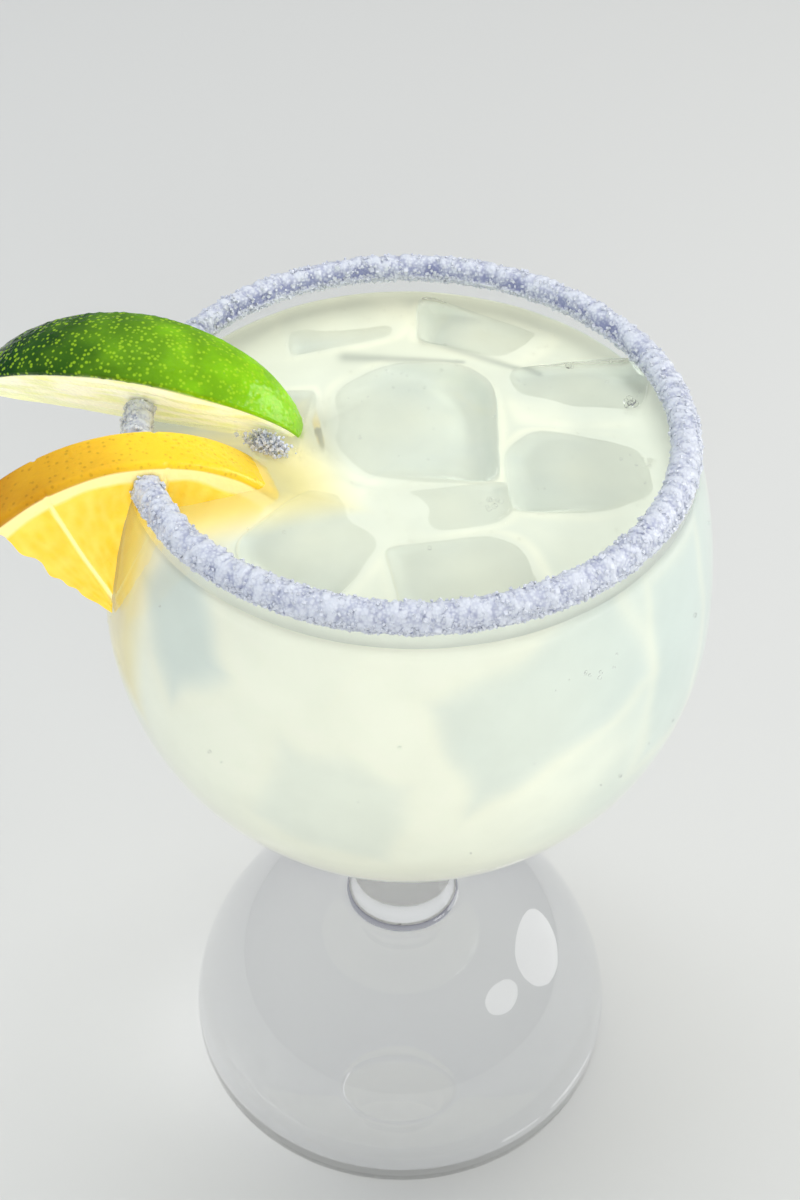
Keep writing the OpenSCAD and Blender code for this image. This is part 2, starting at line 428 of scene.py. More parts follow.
class Recipe:
    """A material in the making, with short words for the nodes that the finishes share."""

    def __init__(self, name: str) -> None:
        """Start an empty material that ends in a Principled shader."""
        self.material = bpy.data.materials.new(name)
        self.material.use_nodes = True
        self.tree = self.material.node_tree
        self.tree.nodes.clear()
        self.end = self.tree.nodes.new("ShaderNodeOutputMaterial")
        self.skin = self.node("ShaderNodeBsdfPrincipled")
        self.tree.links.new(self.skin.outputs[0], self.end.inputs["Surface"])

    def node(self, kind: str, inputs: dict | None = None, **settings: object) -> bpy.types.Node:
        """Add a node.

        Args:
            kind: Blender's name for the node.
            inputs: for each input's name or number, a constant or a socket to join to it.
            settings: the node's own options.

        Returns:
            The node.
        """
        made = self.tree.nodes.new(kind)
        for key, value in settings.items():
            setattr(made, key, value)
        for key, value in (inputs or {}).items():
            self.feed(made.inputs[key], value)
        return made

    def feed(self, socket: bpy.types.NodeSocket, value: object) -> None:
        """Join a socket to another, or give it a constant."""
        if isinstance(value, bpy.types.NodeSocket):
            self.tree.links.new(value, socket)
        elif isinstance(value, tuple) and len(value) == 3 and socket.type == "RGBA":
            socket.default_value = (*value, 1.0)
        else:
            socket.default_value = value

    def surface(self, **inputs: object) -> None:
        """Set the shader's own sockets. An underscore in a name stands for a space."""
        for key, value in inputs.items():
            self.feed(self.skin.inputs[key.replace("_", " ")], value)

    def place(self) -> bpy.types.NodeSocket:
        """The point's place on the piece, in metres."""
        return self.node("ShaderNodeTexCoord").outputs["Object"]

    def stored(self, name: str, output: str = "Fac") -> bpy.types.NodeSocket:
        """A value, vector or colour that the mesh holds for each point."""
        return self.node("ShaderNodeAttribute", attribute_name=name).outputs[output]

    def clouds(self, vector: object, size: float, detail: float = 3.0) -> bpy.types.NodeSocket:
        """Soft cloudy noise, its size given in the vector's own unit."""
        inputs = {"Vector": vector, "Scale": 1.0 / size, "Detail": detail}
        return self.node("ShaderNodeTexNoise", inputs).outputs["Fac"]

    def dots(self, vector: object, size: float, soft: bool = False) -> bpy.types.NodeSocket:
        """Distance to the nearest of a field of scattered dots, in dot spacings."""
        kind = "SMOOTH_F1" if soft else "F1"
        inputs = {"Vector": vector, "Scale": 1.0 / size}
        return self.node("ShaderNodeTexVoronoi", inputs, feature=kind).outputs["Distance"]

    def dimples(self, vector: object, dot: float, cloud: float,
                detail: float) -> bpy.types.NodeSocket:
        """Height of soft dots on soft clouds, from the group that the finishes share.

        Args:
            vector: the place on the piece.
            dot: spacing of the dots, in the vector's own unit.
            cloud: size of the clouds, in the same unit.
            detail: how many finer layers the clouds have.

        Returns:
            The height, which goes into the relief.
        """
        inputs = {"Vector": vector, "Dot Scale": 1.0 / dot, "Cloud Scale": 1.0 / cloud,
                  "Cloud Detail": detail}
        return self.node("ShaderNodeGroup", inputs, node_tree=dimple_group()).outputs["Height"]

    def stretch(self, vector: object, scale: Triple) -> bpy.types.NodeSocket:
        """A vector scaled by a different amount each way."""
        inputs = {"Vector": vector, "Scale": scale}
        return self.node("ShaderNodeMapping", inputs).outputs["Vector"]

    def ramp(self, value: object, low: float, high: float,
             to_low: float = 0.0, to_high: float = 1.0) -> bpy.types.NodeSocket:
        """Carry a value from one span to another with level ends."""
        inputs = {"Value": value, "From Min": low, "From Max": high,
                  "To Min": to_low, "To Max": to_high}
        made = self.node("ShaderNodeMapRange", inputs, interpolation_type="SMOOTHSTEP")
        return made.outputs["Result"]

    def tint(self, share: object, first: object, second: object,
             blend: Blend = Blend.MIX) -> bpy.types.NodeSocket:
        """Put two colours together by a share from 0 to 1."""
        made = self.node("ShaderNodeMix", data_type="RGBA", blend_type=blend.value)
        self.feed(made.inputs[0], share)
        self.feed(made.inputs[6], first)
        self.feed(made.inputs[7], second)
        return made.outputs[2]

    def sum(self, first: object, second: object) -> bpy.types.NodeSocket:
        """Add two numbers."""
        return self.node("ShaderNodeMath", {0: first, 1: second}).outputs[0]

    def relief(self, height: object, depth: float, strength: float = 1.0) -> None:
        """Raise fine relief of the given depth in metres on the surface."""
        inputs = {"Height": height, "Distance": depth, "Strength": strength}
        bump = self.node("ShaderNodeBump", inputs)
        self.feed(self.skin.inputs["Normal"], bump.outputs["Normal"])

    def let_light_through(self) -> None:
        """Let light pass straight through on its way to a surface behind, as clear glass does."""
        shadow = self.node("ShaderNodeLightPath").outputs["Is Shadow Ray"]
        clear = self.node("ShaderNodeBsdfTransparent")
        share = self.node("ShaderNodeMixShader", {0: shadow})
        self.tree.links.new(self.skin.outputs[0], share.inputs[1])
        self.tree.links.new(clear.outputs[0], share.inputs[2])
        self.tree.links.new(share.outputs[0], self.end.inputs["Surface"])


@dataclass(frozen=True)
class ClearGlass:
    """Thick blown glass with a faint lavender tinge and slow waves in its surface."""

    tint: Colour = paint(249, 250, 253)
    bend: float = 1.5
    wave_size: float = 0.014
    wave_depth: float = 0.0002

    def material(self) -> bpy.types.Material:
        """Build the material."""
        r = Recipe("goblet_glass")
        r.surface(Base_Color=self.tint, Transmission_Weight=1.0, IOR=self.bend, Roughness=0.0)
        r.relief(r.clouds(r.place(), self.wave_size, 1.0), self.wave_depth, 0.35)
        r.let_light_through()
        return r.material


@dataclass(frozen=True)
class CitrusDrink:
    """Cloudy lime and lemon drink that light passes a little way into, with a painted glow: it emits
    its own colour.
    """

    # glow: strength of the painted glow, light that the drink gives off though it is no lamp.
    glow: float = 0.36
    gloss: float = 0.06

    def material(self) -> bpy.types.Material:
        """Build the material. The mesh holds its colour, painted light and shade included, and how
        solid it looks, for each point.
        """
        r = Recipe("citrus_drink")
        pulp = r.ramp(r.clouds(r.place(), 0.009, 4.0), 0.3, 0.7, 0.965, 1.0)
        shade = r.tint(1.0, r.stored("tint", "Color"), pulp, Blend.MULTIPLY)
        r.surface(Base_Color=shade, Roughness=self.gloss, IOR=1.34)
        # Painted glow: the drink emits its own colour.
        r.surface(Emission_Color=shade, Emission_Strength=self.glow)
        r.surface(Alpha=r.stored("body"))
        r.relief(r.clouds(r.place(), 0.005, 2.0), 0.00015, 0.25)
        return r.material


@dataclass(frozen=True)
class Ice:
    """Wet clear ice with soft dimples and a few frosty flecks."""

    tint: Colour = paint(248, 250, 248)
    bend: float = 1.31
    dimple: float = 0.0045
    swell: float = 0.006

    def material(self) -> bpy.types.Material:
        """Build the material."""
        r = Recipe("clear_ice")
        place = r.place()
        frost = r.ramp(r.clouds(place, self.swell, 5.0), 0.5, 0.72, 0.02, 0.14)
        r.surface(Base_Color=self.tint, Transmission_Weight=1.0, IOR=self.bend, Roughness=frost)
        r.relief(r.dimples(place, self.dimple, self.swell, 3.0), 0.0005, 0.35)
        r.let_light_through()
        return r.material


@dataclass(frozen=True)
class WetSalt:
    """Coarse salt that has taken up juice: white lumps over lavender-grey hollows, whose colour is
    painted shade.
    """

    white: Colour = paint(212, 217, 226)
    # hollow: the painted shade colour that low points take.
    hollow: Colour = paint(138, 144, 178)
    gloss: float = 0.34

    def material(self, name: str) -> bpy.types.Material:
        """Build the material. The mesh holds how far each point stands out."""
        r = Recipe(name)
        place = r.place()
        fine = r.dots(place, 0.0006)
        # Painted shade: low points, and the gaps between fine grains, take the lavender-grey hollow
        # colour.
        share = r.sum(r.stored("stand"), r.ramp(fine, 0.0, 0.8, 0.12, -0.2))
        colour = r.tint(r.ramp(share, 0.05, 0.75), self.hollow, self.white)
        r.surface(Base_Color=colour, Roughness=self.gloss, IOR=1.5)
        r.surface(Subsurface_Weight=0.25, Subsurface_Radius=(1.0, 1.0, 1.0))
        r.surface(Subsurface_Scale=0.0012)
        r.relief(r.sum(fine, r.clouds(place, 0.0012, 3.0)), 0.00025, 0.6)
        return r.material


@dataclass(frozen=True)
class LimeSkinAndFlesh:
    """Lime: a waxy green peel dotted with oil glands, a thin pith and pale juicy flesh."""

    # The first two colours are one peel: painted shade at one end, painted light at the other.
    peel_shaded: Colour = paint(14, 62, 0)
    peel_lit: Colour = paint(146, 212, 8)
    gland: Colour = paint(166, 208, 34)
    pith: Colour = paint(240, 243, 196)
    flesh: Colour = paint(236, 240, 176)
    flesh_pale: Colour = paint(250, 249, 220)
    gland_gap: float = 0.95
    waver: float = 0.9
    # glow: strength of the painted glow that the flesh and pith give off though they are no lamp.
    glow: float = 0.22

    def material(self) -> bpy.types.Material:
        """Build the material from the peel share, the depth under the peel and the painted lit side
        of the peel, with a painted glow in the flesh.
        """
        r = Recipe("lime")
        local = r.stored("local", "Vector")
        # Painted light: the peel goes from shaded to lit along its length.
        green = r.tint(r.stored("ripe"), self.peel_shaded, self.peel_lit)
        mottle = r.ramp(r.clouds(local, 6.0, 3.0), 0.3, 0.7, 0.82, 1.08)
        green = r.tint(1.0, green, mottle, Blend.MULTIPLY)
        dots = r.ramp(r.dots(local, self.gland_gap), 0.2, 0.44, 0.62, 0.0)
        peel = r.tint(dots, green, self.gland)
        grain = r.dots(r.stretch(local, (0.3, 1.0, 1.0)), 1.7, True)
        juicy = r.tint(r.ramp(grain, 0.15, 0.6), self.flesh, self.flesh_pale)
        inside = r.tint(r.stored("pith"), juicy, self.pith)
        colour = r.tint(r.stored("rind"), inside, peel)
        r.surface(Base_Color=colour, Roughness=0.24, IOR=1.4, Specular_IOR_Level=0.35)
        r.surface(Subsurface_Weight=0.22, Subsurface_Radius=(0.8, 1.0, 0.35))
        r.surface(Subsurface_Scale=0.003, Coat_Weight=0.25, Coat_Roughness=0.1)
        # Painted glow: the flesh and pith emit their own colour, so the cut faces look lit.
        lit = r.tint(r.stored("rind"), inside, BLACK)
        r.surface(Emission_Color=lit, Emission_Strength=self.glow)
        r.relief(r.dimples(local, self.gland_gap, self.waver, 2.0), 0.00025, 0.45)
        return r.material


@dataclass(frozen=True)
class LemonSkinAndFlesh:
    """Lemon: a golden pored peel, a pale pith and wet golden flesh between membranes."""

    # The first two colours are one peel: painted shade in gold, painted light in yellow.
    peel_shaded_gold: Colour = paint(180, 120, 0)
    peel_lit_yellow: Colour = paint(252, 206, 44)
    pith: Colour = paint(250, 232, 160)
    flesh: Colour = paint(252, 206, 56)
    flesh_pale: Colour = paint(254, 220, 92)
    membrane: Colour = paint(255, 242, 176)
    pore_gap: float = 1.3
    waver: float = 0.8
    # glow: strength of the painted glow that the flesh and pith give off though they are no lamp.
    glow: float = 0.24

    def material(self) -> bpy.types.Material:
        """Build the material from the peel share, pith, membranes and the painted lit side of the
        peel, with a painted glow in the flesh.
        """
        r = Recipe("lemon")
        local = r.stored("local", "Vector")
        # Painted light: the peel gold where shaded and yellow towards its lit side.
        gold = r.tint(r.stored("ripe"), self.peel_shaded_gold, self.peel_lit_yellow)
        pores = r.ramp(r.dots(local, self.pore_gap), 0.12, 0.34, 0.8, 1.04)
        peel = r.tint(1.0, gold, pores, Blend.MULTIPLY)
        grain = r.dots(r.stored("grain", "Vector"), 1.0, True)
        juicy = r.tint(r.ramp(grain, 0.1, 0.9), self.flesh, self.flesh_pale)
        juicy = r.tint(r.stored("web"), juicy, self.membrane)
        inside = r.tint(r.stored("pith"), juicy, self.pith)
        colour = r.tint(r.stored("rind"), inside, peel)
        r.surface(Base_Color=colour, Roughness=0.25, IOR=1.4)
        r.surface(Subsurface_Weight=0.3, Subsurface_Radius=(1.0, 0.75, 0.25))
        r.surface(Subsurface_Scale=0.004, Coat_Weight=0.25, Coat_Roughness=0.12)
        # Painted glow: the flesh and pith emit their own colour, so the cut faces look lit.
        lit = r.tint(r.stored("rind"), inside, BLACK)
        r.surface(Emission_Color=lit, Emission_Strength=self.glow)
        r.relief(r.dimples(local, self.pore_gap, self.waver, 2.0), 0.0003, 0.45)
        return r.material


@dataclass(frozen=True)
class WaterBead:
    """Clear drops and bubbles."""

    bend: float = 1.33

    def material(self) -> bpy.types.Material:
        """Build the material."""
        r = Recipe("water_bead")
        r.surface(Base_Color=(1.0, 1.0, 1.0), Transmission_Weight=1.0, IOR=self.bend)
        r.surface(Roughness=0.0)
        r.relief(r.clouds(r.place(), 0.002, 1.0), 0.00005, 0.2)
        r.let_light_through()
        return r.material


@dataclass(frozen=True)
class PaleFloor:
    """Plain pale matt floor."""

    colour: Colour = paint(206, 207, 204)

    def material(self) -> bpy.types.Material:
        """Build the material."""
        r = Recipe("floor")
        r.surface(Base_Color=self.colour, Roughness=0.6)
        return r.material


# ---------------------------------------------------------------- goblet


@dataclass
class Goblet:
    """The stemmed goblet, in one closed shell, and the forms that fit its wall."""

    height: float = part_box("glass")[1].z / MM
    belly_r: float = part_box("glass")[1].x / MM
    rim_r: float = 50.8
    belly_depth: float = 41.0
    bowl_drop: float = 56.0
    wall: float = 3.0
    floor_t: float = 6.0
    stem_r: float = 10.0
    stem_swell: float = 3.0
    collar_h: float = 48.0
    collar_r: float = 12.5
    foot_r: float = 47.5
    foot_belly_h: float = 9.0
    foot_tuck: float = 3.0
    rest_ring_w: float = 9.0
    punt_h: float = 8.0
    crown_round: float = 0.9
    crown_steep: float = 1.15
    flare_power: int = 7
    swell_power: int = 5
    sectors: int = 288

    @property
    def belly_z(self) -> float:
        """Height of the widest place."""
        return self.height - self.belly_depth

    @property
    def lip_h(self) -> float:
        """Height of the rounded lip above the wall."""
        return self.wall / 2.0

    @property
    def lip_z(self) -> float:
        """Height where the wall ends and the rounded lip begins."""
        return self.height - self.lip_h

    def upper_r(self, z: Array, grow: float) -> Array:
        """Radius on the upper half of a bowl whose belly and rim are both moved out by grow.

        The section is part of an ellipse: belly times the root of 1 less the square of the
        height over the ellipse's own half height.
        """
        belly, rim = self.belly_r + grow, self.rim_r + grow
        rise = self.belly_depth / math.sqrt(1.0 - (rim / belly) ** 2)
        return belly * np.sqrt(np.maximum(1.0 - ((z - self.belly_z) / rise) ** 2, 0.0))

    def outside_r(self, z: Array) -> Array:
        """Radius of the outside of the wall above the belly."""
        return self.upper_r(z, 0.0)

    def inside_r(self, z: Array) -> Array:
        """Radius of the inside of the wall above the belly."""
        return self.upper_r(z, -self.wall)

    def lower_bowl(self, radius: float, drop: float, end_r: float, steps: int) -> Array:
        """Quarter ellipse from the belly down to where the radius is end_r."""
        angle = np.linspace(0.0, math.acos(end_r / radius), steps)
        return np.stack([radius * np.cos(angle), self.belly_z - drop * np.sin(angle)], axis=1)

    def foot_and_stem(self) -> Array:
        """Outline up the foot and the stem: a domed foot with a tucked base, and a waisted stem."""
        tuck = np.linspace(-0.5 * np.pi, 0.0, 10)
        inner = self.foot_r - self.foot_tuck
        base = np.stack([inner + self.foot_tuck * np.cos(tuck),
                         self.foot_belly_h * (1.0 + np.sin(tuck))], axis=1)
        a = np.linspace(0.0, 0.5 * np.pi, 40)[1:]
        crown_r = self.foot_r - self.collar_r
        crown_h = self.collar_h - self.foot_belly_h
        crown = np.stack([self.collar_r + crown_r * np.maximum(np.cos(a), 0.0) ** self.crown_round,
                          self.foot_belly_h + crown_h * np.sin(a) ** self.crown_steep], axis=1)
        t = np.linspace(0.0, 1.0, 24)[1:]
        top_r = self.stem_r + self.stem_swell
        top_z = self.belly_z - self.bowl_drop * math.sin(math.acos(top_r / self.belly_r))
        flare = self.collar_r - self.stem_r
        stem_r = self.stem_r + flare * (1.0 - t) ** self.flare_power
        stem_r = stem_r + self.stem_swell * t**self.swell_power
        stem = np.stack([stem_r, self.collar_h + (top_z - self.collar_h) * t], axis=1)
        return np.vstack([base, crown, stem])

    def outline(self) -> Array:
        """Whole section from the middle of the hollow under the foot to the middle of the bowl."""
        a = np.linspace(0.5 * np.pi, 0.0, 14)
        punt_r = self.foot_r - self.foot_tuck - self.rest_ring_w
        punt = np.stack([punt_r * np.cos(a), self.punt_h * np.sin(a)], axis=1)
        punt[0, 0] = 0.0
        below = self.lower_bowl(self.belly_r, self.bowl_drop, self.stem_r + self.stem_swell, 40)
        z = np.linspace(self.belly_z, self.lip_z, 26)[1:]
        wall_out = np.stack([self.outside_r(z), z], axis=1)
        wall_in = np.stack([self.inside_r(z), z], axis=1)
        r_out, r_in = wall_out[-1, 0], wall_in[-1, 0]
        lip = np.linspace(0.0, np.pi, 14)[1:-1]
        lip = np.stack([(r_out + r_in) / 2 + (r_out - r_in) / 2 * np.cos(lip),
                        self.lip_z + self.lip_h * np.sin(lip)], axis=1)
        bowl = self.lower_bowl(self.belly_r - self.wall, self.bowl_drop - self.floor_t, 0.5, 44)
        floor = [[0.0, self.belly_z - self.bowl_drop + self.floor_t]]
        return np.vstack([punt, self.foot_and_stem(), below[::-1][1:], wall_out, lip,
                          wall_in[::-1], bowl, floor])

    def build(self) -> bpy.types.Object:
        """Make the goblet, which stands for the glass of the frame."""
        goblet = make_piece("goblet", revolved(self.outline(), self.sectors), ClearGlass().material())
        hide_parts("glass")
        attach(goblet, BODY)
        report(goblet)
        return goblet

    def slot_tool(self, gap: float, middle: float, half_turn: float) -> Shell:
        """Space of the wall round part of the rim, grown by gap on both sides.

        A block is bent round the axis: its first share goes round, its second from the outside
        of the wall to the inside, its third up from the belly to the rounded lip.

        Args:
            gap: clearance on each side of the wall.
            middle: where round the rim the middle of the tool lies, in degrees.
            half_turn: how far it reaches each way, in degrees.

        Returns:
            The closed tool.
        """
        shares, quads = block_skin(70, 10, 40)
        turn = np.radians(middle + half_turn * (2.0 * shares[:, 0] - 1.0))
        across = shares[:, 1]
        arch = np.sqrt(np.maximum(1.0 - (2.0 * across - 1.0) ** 2, 0.0))
        top = self.lip_z + (self.lip_h + gap) * arch
        low = self.belly_z + 1.0
        z = low + (top - low) * shares[:, 2]
        r = mix(self.upper_r(z, gap), self.upper_r(z, -self.wall - gap), across)
        points = np.stack([r * np.cos(turn), r * np.sin(turn), z], axis=1)
        return Shell(points, quads).outwards()


# ---------------------------------------------------------------- ice


@dataclass(frozen=True)
class IceCube:
    """One worn cube: its middle seen from above, its size, its turn and how it floats."""

    x: float
    y: float
    wide: float
    long: float
    turn: float
    lift: float = 0.6
    tip_x: float = 0.0
    tip_y: float = 0.0
    deep: float = 20.0
    worn: float = 14.0

    def planes(self) -> tuple[Array, Array]:
        """The cube's faces and the chips off its corners, none quite square.

        Returns:
            The unit direction that each faces, and its distance from the cube's middle.
        """
        rng = np.random.default_rng(int(1000 + 7 * self.x + 13 * self.y))
        half = np.array([self.wide, self.long, self.deep]) / 2.0
        faces = np.vstack([np.eye(3), -np.eye(3)])
        faces = faces + rng.normal(0.0, 1.0, (6, 3)) * [0.1, 0.1, 0.05]
        reach = np.concatenate([half, half]) * rng.uniform(0.95, 1.05, 6)
        chips = np.hstack([rng.choice([-1.0, 1.0], (4, 2)), rng.uniform(-0.5, 0.5, (4, 1))])
        chips = chips * rng.uniform(0.6, 1.4, (4, 3))
        chip_reach = np.abs(chips) @ half / np.linalg.norm(chips, axis=1) * rng.uniform(0.72, 0.86, 4)
        faces = faces / np.linalg.norm(faces, axis=1, keepdims=True)
        chips = chips / np.linalg.norm(chips, axis=1, keepdims=True)
        return np.vstack([faces, chips]), np.concatenate([reach, chip_reach])

    def share_out(self, local: Array) -> Array:
        """How far out each place is, as a share of the way to the cube's skin.

        For each face, the place's distance along the face's direction over the face's own
        distance is raised to the worn-th power, and the share is that root of their sum.
        """
        facing, reach = self.planes()
        parts = np.maximum(local @ facing.T / reach, 0.0)
        return np.maximum((parts**self.worn).sum(axis=1), 1e-30) ** (1.0 / self.worn)

    def middle(self, level: float) -> Array:
        """Where the middle of the cube is when it floats at the level."""
        return np.array([self.x, self.y, level + self.lift - self.deep / 2.0])

    def shell(self, level: float, noise: Noise, cells: int = 40) -> Shell:
        """Rays out of the middle, each ended at the skin, then worn by two sizes of noise."""
        shares, quads = block_skin(cells, cells, cells // 2)
        ray = (2.0 * shares - 1.0) * [self.wide, self.long, self.deep]
        ray /= np.linalg.norm(ray, axis=1, keepdims=True)
        points = ray / self.share_out(ray)[:, None]
        seat = points + [7.0 * self.x, 5.0 * self.y, 0.0]
        wear = 1.0 + 0.02 * noise.value(seat, 9.0) + 0.007 * noise.value(seat, 3.0)
        points = points * wear[:, None]
        points = points @ turned(self.tip_x, self.tip_y, self.turn).T + self.middle(level)
        return Shell(points, quads).outwards()

    def away(self, x: Array, y: Array, level: float) -> Array:
        """Distance outside the cube's outline at the level, negative within, in millimetres."""
        place = np.stack([x, y, np.full_like(x, level)], axis=1) - self.middle(level)
        local = place @ turned(self.tip_x, self.tip_y, self.turn)
        share = self.share_out(local)
        flat = np.hypot(local[:, 0], local[:, 1])
        return flat * (1.0 - 1.0 / np.maximum(share, 0.05))


@dataclass
class IceLayer:
    """The cubes that float in the drink, in one piece."""

    level: float
    cubes: tuple[IceCube, ...] = (
        IceCube(x=0.5, y=11.0, wide=33.0, long=35.0, turn=-4.0, lift=1.6, tip_x=4.0, tip_y=-1.0),
        IceCube(x=31.5, y=-4.5, wide=28.0, long=22.0, turn=3.0, lift=1.0, tip_y=-1.5),
        IceCube(x=32.5, y=18.5, wide=27.0, long=17.0, turn=3.0, lift=1.2, tip_x=-2.0),
        IceCube(x=-16.5, y=-24.5, wide=24.0, long=32.0, turn=-22.0, lift=0.7, tip_x=1.5),
        IceCube(x=10.5, y=-32.0, wide=26.0, long=18.0, turn=14.0, lift=0.8, tip_x=-2.0),
        IceCube(x=-14.0, y=40.0, wide=27.0, long=14.0, turn=16.0, lift=0.5),
        IceCube(x=13.5, y=37.5, wide=26.0, long=13.0, turn=-20.0, lift=1.1, tip_x=4.0),
        IceCube(x=7.5, y=-14.5, wide=23.0, long=13.0, turn=10.0, lift=0.5, tip_y=2.0),
        IceCube(x=-22.5, y=7.0, wide=12.0, long=22.0, turn=10.0, lift=0.4, deep=14.0),
    )

    def away(self, x: Array, y: Array) -> Array:
        """Distance to the nearest cube's outline, negative within it."""
        return np.min([cube.away(x, y, self.level) for cube in self.cubes], axis=0)

    def build(self) -> bpy.types.Object:
        """Make the cubes."""
        noise = Noise(11)
        whole = self.cubes[0].shell(self.level, noise)
        for cube in self.cubes[1:]:
            whole = whole.joined(cube.shell(self.level, noise))
        ice = make_piece("ice_cubes", whole, Ice().material())
        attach(ice, BODY)
        report(ice)
        return ice


# ---------------------------------------------------------------- garnish


@dataclass
class LimeWedge:
    """A wedge cut lengthwise from a lime, its peel up and its cut edge down."""

    goblet: Goblet
    long: float = 62.0
    radius: float = 19.5
    angle: float = 50.0
    core: float = 1.5
    point: float = 0.5
    cover: float = 11.5
    out: float = 1.2
    at: float = 168.5
    yaw: float = -7.0
    tip: float = 4.5
    lean: float = 7.0
    gland: float = 1.5
    slot_gap: float = 0.3
    slot_reach: float = 34.0

    def turning(self) -> Array:
        """The wedge's turn as a matrix."""
        return turned(self.lean, self.tip, self.yaw)

    def middle(self) -> Array:
        """Where the middle of the whole lime is."""
        reach = self.goblet.rim_r + self.out
        at = math.radians(self.at)
        return np.array([reach * math.cos(at), reach * math.sin(at),
                         self.goblet.height + self.cover - self.radius])

    def local(self, points: Array) -> Array:
        """Carry places in the frame into the wedge's own axes."""
        return (points - self.middle()) @ self.turning()

    def radius_at(self, x: Array) -> Array:
        """Radius of the whole lime along its length: its middle radius by a cosine to a power."""
        u = np.clip(x / (self.long / 2.0), -1.0, 1.0)
        return self.radius * np.maximum(np.cos(0.5 * np.pi * u), 0.0) ** self.point

    def away(self, points: Array) -> Array:
        """Rough distance of each place outside the wedge, negative within it."""
        p = self.local(points)
        half_angle = math.radians(self.angle / 2.0)
        beyond_round = np.hypot(p[:, 1], p[:, 2]) - self.radius_at(p[:, 0])
        beyond_cut = np.abs(p[:, 1]) - (p[:, 2] + self.core) * math.tan(half_angle)
        beyond_tip = np.abs(p[:, 0]) - self.long / 2.0
        return np.max([beyond_round, beyond_cut * math.cos(half_angle), beyond_tip], axis=0)

    def shell(self) -> Shell:
        """A block bent into the wedge.

        The first share runs from tip to tip. At each place along, the third share runs on a
        straight line from the cut edge to the peel, and the second picks the peel's angle, so
        the block's sides become the two cut faces. Glands dimple the peel and juice sacs swell
        the faces.
        """
        shares, quads = block_skin(230, 84, 44)
        s = 2.0 * shares[:, 0] - 1.0
        x = self.long / 2.0 * 0.9995 * np.sin(0.5 * np.pi * s)
        r = self.radius_at(x)
        slope = math.tan(math.radians(self.angle / 2.0))
        core = np.minimum(self.core, 0.98 * r)
        steep = 1.0 + slope**2
        inside_root = (core * slope**2) ** 2 - steep * ((core * slope) ** 2 - r**2)
        root = np.sqrt(np.maximum(inside_root, 0.0))
        z_edge = (root - core * slope**2) / steep
        widest = np.arctan2((z_edge + core) * slope, z_edge)
        across = 2.0 * shares[:, 1] - 1.0
        noise = Noise(23)
        lift = 1.0 - 0.045 * np.maximum((np.abs(across) - 0.93) / 0.07, 0.0) ** 2
        angle = across * widest
        peel = np.stack([x, r * lift * np.sin(angle), r * lift * np.cos(angle)], axis=1)
        edge = np.stack([x, 0.0 * x, -core], axis=1)
        rise = (1.0 - (1.0 - shares[:, 2]) ** 1.3)[:, None]
        points = mix(edge, peel, rise)
        skin = Shell(points, quads).outwards()
        normal = skin.normals()
        on_peel = shares[:, 2] > 0.999
        full = smooth(r / 5.0)
        spot, _ = noise.cells(points, self.gland)
        dimple = 0.16 * smooth(1.0 - spot / 0.55) + 0.12 * noise.fractal(points, 7.0, 2)
        depth = np.linalg.norm(peel - points, axis=1)
        sacs = noise.value(points * [0.35, 1.0, 1.0], 1.6) * smooth((depth - 1.8) / 1.5)
        sink = 0.35 * smooth(1.0 - np.abs(depth - 1.7) / 1.2)
        swell = 0.18 * sacs - sink + 0.3 * noise.value(points, 11.0)
        skin.points = points + normal * (np.where(on_peel, dimple, swell) * full)[:, None]
        skin.points = skin.points @ self.turning().T + self.middle()
        return skin.outwards()

    def build(self) -> bpy.types.Object:
        """Make the wedge, slot it over the wall, and store what its finish reads."""
        lime = make_piece("lime", self.shell(), LimeSkinAndFlesh().material())
        cut_away(lime, self.goblet.slot_tool(self.slot_gap, self.at, self.slot_reach))
        p = self.local(mesh_points(lime))
        rho = np.hypot(p[:, 1], p[:, 2])
        depth = self.radius_at(p[:, 0]) - rho
        wobble = Noise(29).value(p, 4.0)
        set_vector(lime, "local", p)
        set_value(lime, "rind", 1.0 - smooth((depth - 0.75) / 0.5))
        pith = smooth((depth - 0.6) / 0.5) * (1.0 - smooth((depth - 1.7 - 0.4 * wobble) / 0.9))
        core = 1.0 - smooth((rho - 1.2 - 0.5 * wobble) / 1.0)
        set_value(lime, "pith", np.maximum(pith, core))
        # Painted light: the peel lighter towards its +x end, with a little noise.
        set_value(lime, "ripe", smooth(0.42 + p[:, 0] / self.long + 0.12 * wobble))
        lime.data.set_sharp_from_angle(angle=SHARP_EDGE)
        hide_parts("lime_wedge")
        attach(lime, BODY)
        report(lime)
        return lime


